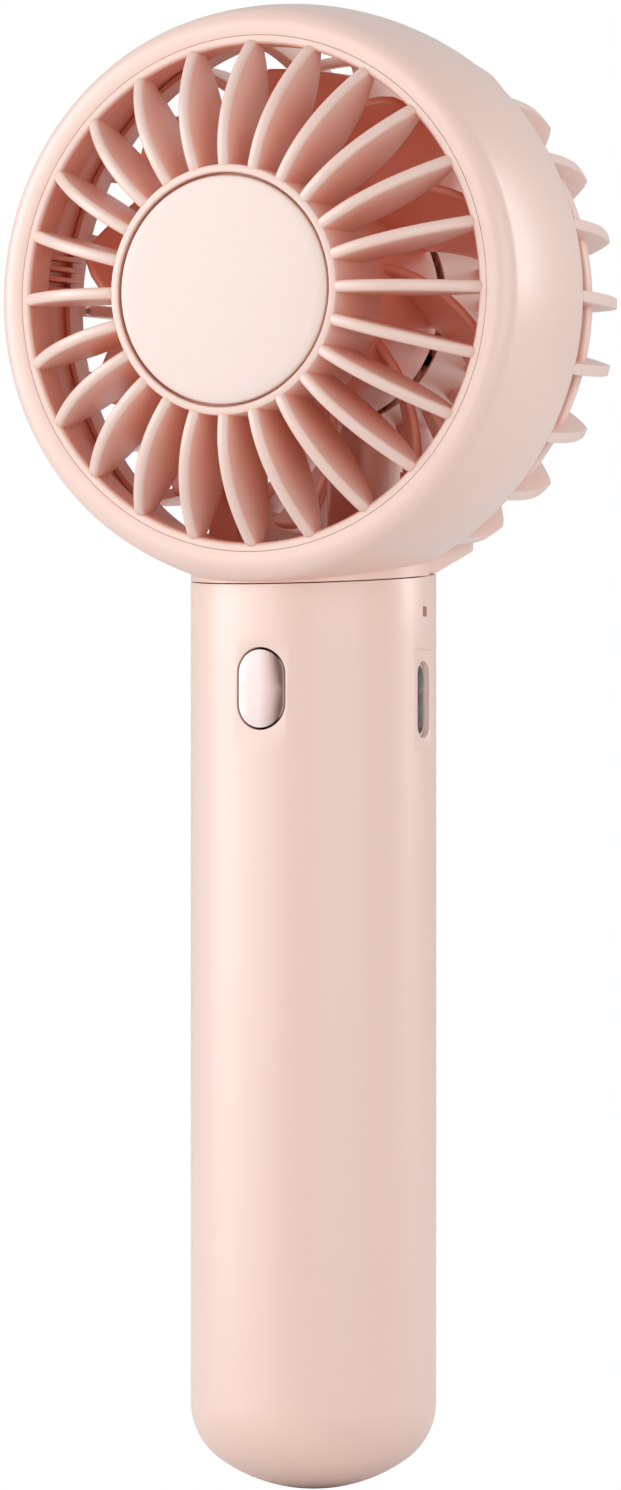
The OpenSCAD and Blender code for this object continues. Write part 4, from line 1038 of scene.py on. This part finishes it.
def woundWire(name, values):
    material, tree, shader, place = newFinish(name)
    turns = tree.nodes.new("ShaderNodeTexWave")
    turns.wave_type = "RINGS"
    turns.rings_direction = "Y"
    turns.inputs["Scale"].default_value = values["turns"]
    turns.inputs["Distortion"].default_value = 0.6
    centre = tree.nodes.new("ShaderNodeMapping")
    centre.inputs["Location"].default_value = (0, 0, -fan["axisHeight"] * mm)
    tree.links.new(place, centre.inputs["Vector"])
    tree.links.new(centre.outputs["Vector"], turns.inputs["Vector"])
    colour = values["colour"]
    tree.links.new(rampOf(tree, turns.outputs["Fac"], [(0.1, shadeOf(colour, 0.35)), (0.6, colour)]),
                   shader.inputs["Base Color"])
    smear = noiseOf(tree, place, 500, 3.0)
    tree.links.new(rangeOf(tree, smear, 0.2, 0.36), shader.inputs["Roughness"])
    bumpFrom(tree, shader, [(turns.outputs["Fac"], 0.8, 0.08)])
    shader.inputs["Metallic"].default_value = 0.8
    return material


def windowTint(name, values):
    material, tree, shader, place = newFinish(name)
    colour = values["colour"]
    cloud = noiseOf(tree, place, 900, 2.0)
    tree.links.new(rampOf(tree, cloud, [(0.3, shadeOf(colour, 0.93)), (0.7, shadeOf(colour, 1.05))]),
                   shader.inputs["Base Color"])
    smear = noiseOf(tree, place, 1500, 3.0)
    tree.links.new(rangeOf(tree, smear, 0.18, 0.3), shader.inputs["Roughness"])
    bumpFrom(tree, shader, [(smear, 0.1, 0.02)])
    shader.inputs["Transmission Weight"].default_value = 0.25
    return material


steelValues = {"colour": (0.60, 0.60, 0.61), "scale": 900, "stretch": (1, 1, 1), "rough": 0.3, "bump": 0.15}


def plainSteel(name, values):
    return workedMetal(name, {**steelValues, **values})


finishes = {
    "port_metal": plainSteel("portSteel", {"colour": (0.86, 0.81, 0.80), "rough": 0.5}),
    "port_plastic": plainMould("portPlastic", {"colour": (0.24, 0.21, 0.21)}),
    "board": boardMask("greenBoard", {"colour": (0.02, 0.12, 0.05), "tracks": 260}),
    "chip": plainMould("chipEpoxy", {"colour": (0.02, 0.02, 0.022), "rough": 0.5}),
    "ferrite": plainMould("ferriteBlock", {"colour": (0.06, 0.06, 0.065), "rough": 0.6, "grain": 0.5}),
    "capacitor": plainMould("firedCeramic", {"colour": (0.36, 0.23, 0.13), "rough": 0.45}),
    "socket": plainMould("nylonSocket", {"colour": (0.74, 0.72, 0.66), "rough": 0.35}),
    "led": plainMould("milkyLed", {"colour": (0.82, 0.78, 0.68), "rough": 0.3}),
    "switch": plainSteel("switchCover", {"colour": (0.35, 0.35, 0.36), "rough": 0.42}),
    "plunger": plainMould("plungerPlastic", {"colour": (0.03, 0.03, 0.03), "rough": 0.4}),
    "screw": plainSteel("zincScrew", {"colour": (0.62, 0.62, 0.63), "scale": 1500}),
    "zinc": plainSteel("castZinc", {"colour": (0.56, 0.56, 0.57), "rough": 0.42, "scale": 400}),
    "bronze": plainSteel("oiledBronze", {"colour": (0.52, 0.30, 0.13), "rough": 0.35, "scale": 2500}),
    "laminations": plainSteel("stampedSheets", {"colour": (0.32, 0.32, 0.33), "stretch": (1, 40, 1),
                                                "bump": 0.5}),
    "copper": woundWire("woundCopper", {"colour": (0.62, 0.25, 0.09), "turns": 300}),
    "bell": plainSteel("drawnBell", {"colour": (0.30, 0.30, 0.31), "stretch": (1, 12, 1), "rough": 0.38}),
    "magnet": plainMould("bondedMagnet", {"colour": (0.05, 0.05, 0.055), "rough": 0.5, "grain": 0.4}),
    "shaft": plainSteel("groundShaft", {"colour": (0.70, 0.70, 0.71), "rough": 0.16, "stretch": (1, 20, 1)}),
    "clip": plainSteel("springClip", {"colour": (0.16, 0.16, 0.17), "rough": 0.4}),
    "cable": plainMould("redCable", {"colour": (0.42, 0.03, 0.025), "rough": 0.42}),
    "cell_cable": plainMould("blackCable", {"colour": (0.02, 0.02, 0.022), "rough": 0.42}),
    "carrier": plainMould("carrierPlastic", {"colour": (0.035, 0.035, 0.037), "rough": 0.5}),
    "cell": plainMould("shrinkSleeve", {"colour": (0.03, 0.11, 0.24), "rough": 0.25, "coat": 0.3}),
    "nickel": plainSteel("nickelStrip", {"colour": (0.58, 0.56, 0.52), "stretch": (12, 1, 1)}),
    "foam": plainMould("openFoam", {"colour": (0.05, 0.05, 0.055), "rough": 0.9, "grain": 1.0,
                                    "grainScale": 1200}),
    "light": windowTint("lightWindow", {"colour": (0.50, 0.20, 0.14)}),
    "shell": blush, "cage": blushCage, "cap": blushCap, "blades": blushBlades, "button": pearl,
}
slotOf = {entry["node"]: entry["material_slot"] for entry in frame["record"]["subparts"]}
for nodeName, nodeObject in frame["nodes"].items():
    finish = finishes[slotOf[nodeName]]
    if not nodeObject.material_slots:
        nodeObject.data.materials.append(finish)
    for place in nodeObject.material_slots:
        place.material = finish
print("frame pieces finished")


def layFloor():
    clearSelection()
    bpy.ops.mesh.primitive_plane_add(size=8, location=(0, 0, 0))
    floor = bpy.context.object
    floor.name = "paleFloor"
    settle(floor)
    material, tree, shader, place = newFinish("paleFloor")
    cloud = noiseOf(tree, place, 3, 2.0)
    paper = rampOf(tree, cloud, [(0.3, (0.86, 0.86, 0.86)), (0.7, (0.88, 0.88, 0.88))])
    tree.links.new(paper, shader.inputs["Base Color"])
    shader.inputs["Roughness"].default_value = 0.9
    shader.inputs["Specular IOR Level"].default_value = 0.0
    glow = tree.nodes.new("ShaderNodeEmission")    # a pure white sweep where it is looked at
    glow.inputs["Color"].default_value = (1, 1, 1, 1)
    seen = tree.nodes.new("ShaderNodeLightPath")
    mix = tree.nodes.new("ShaderNodeMixShader")
    tree.links.new(seen.outputs["Is Camera Ray"], mix.inputs["Fac"])
    tree.links.new(shader.outputs["BSDF"], mix.inputs[1])
    tree.links.new(glow.outputs["Emission"], mix.inputs[2])
    tree.links.new(mix.outputs["Shader"], tree.nodes["Material Output"].inputs["Surface"])
    floor.data.materials.append(material)


layFloor()
print("floor laid")
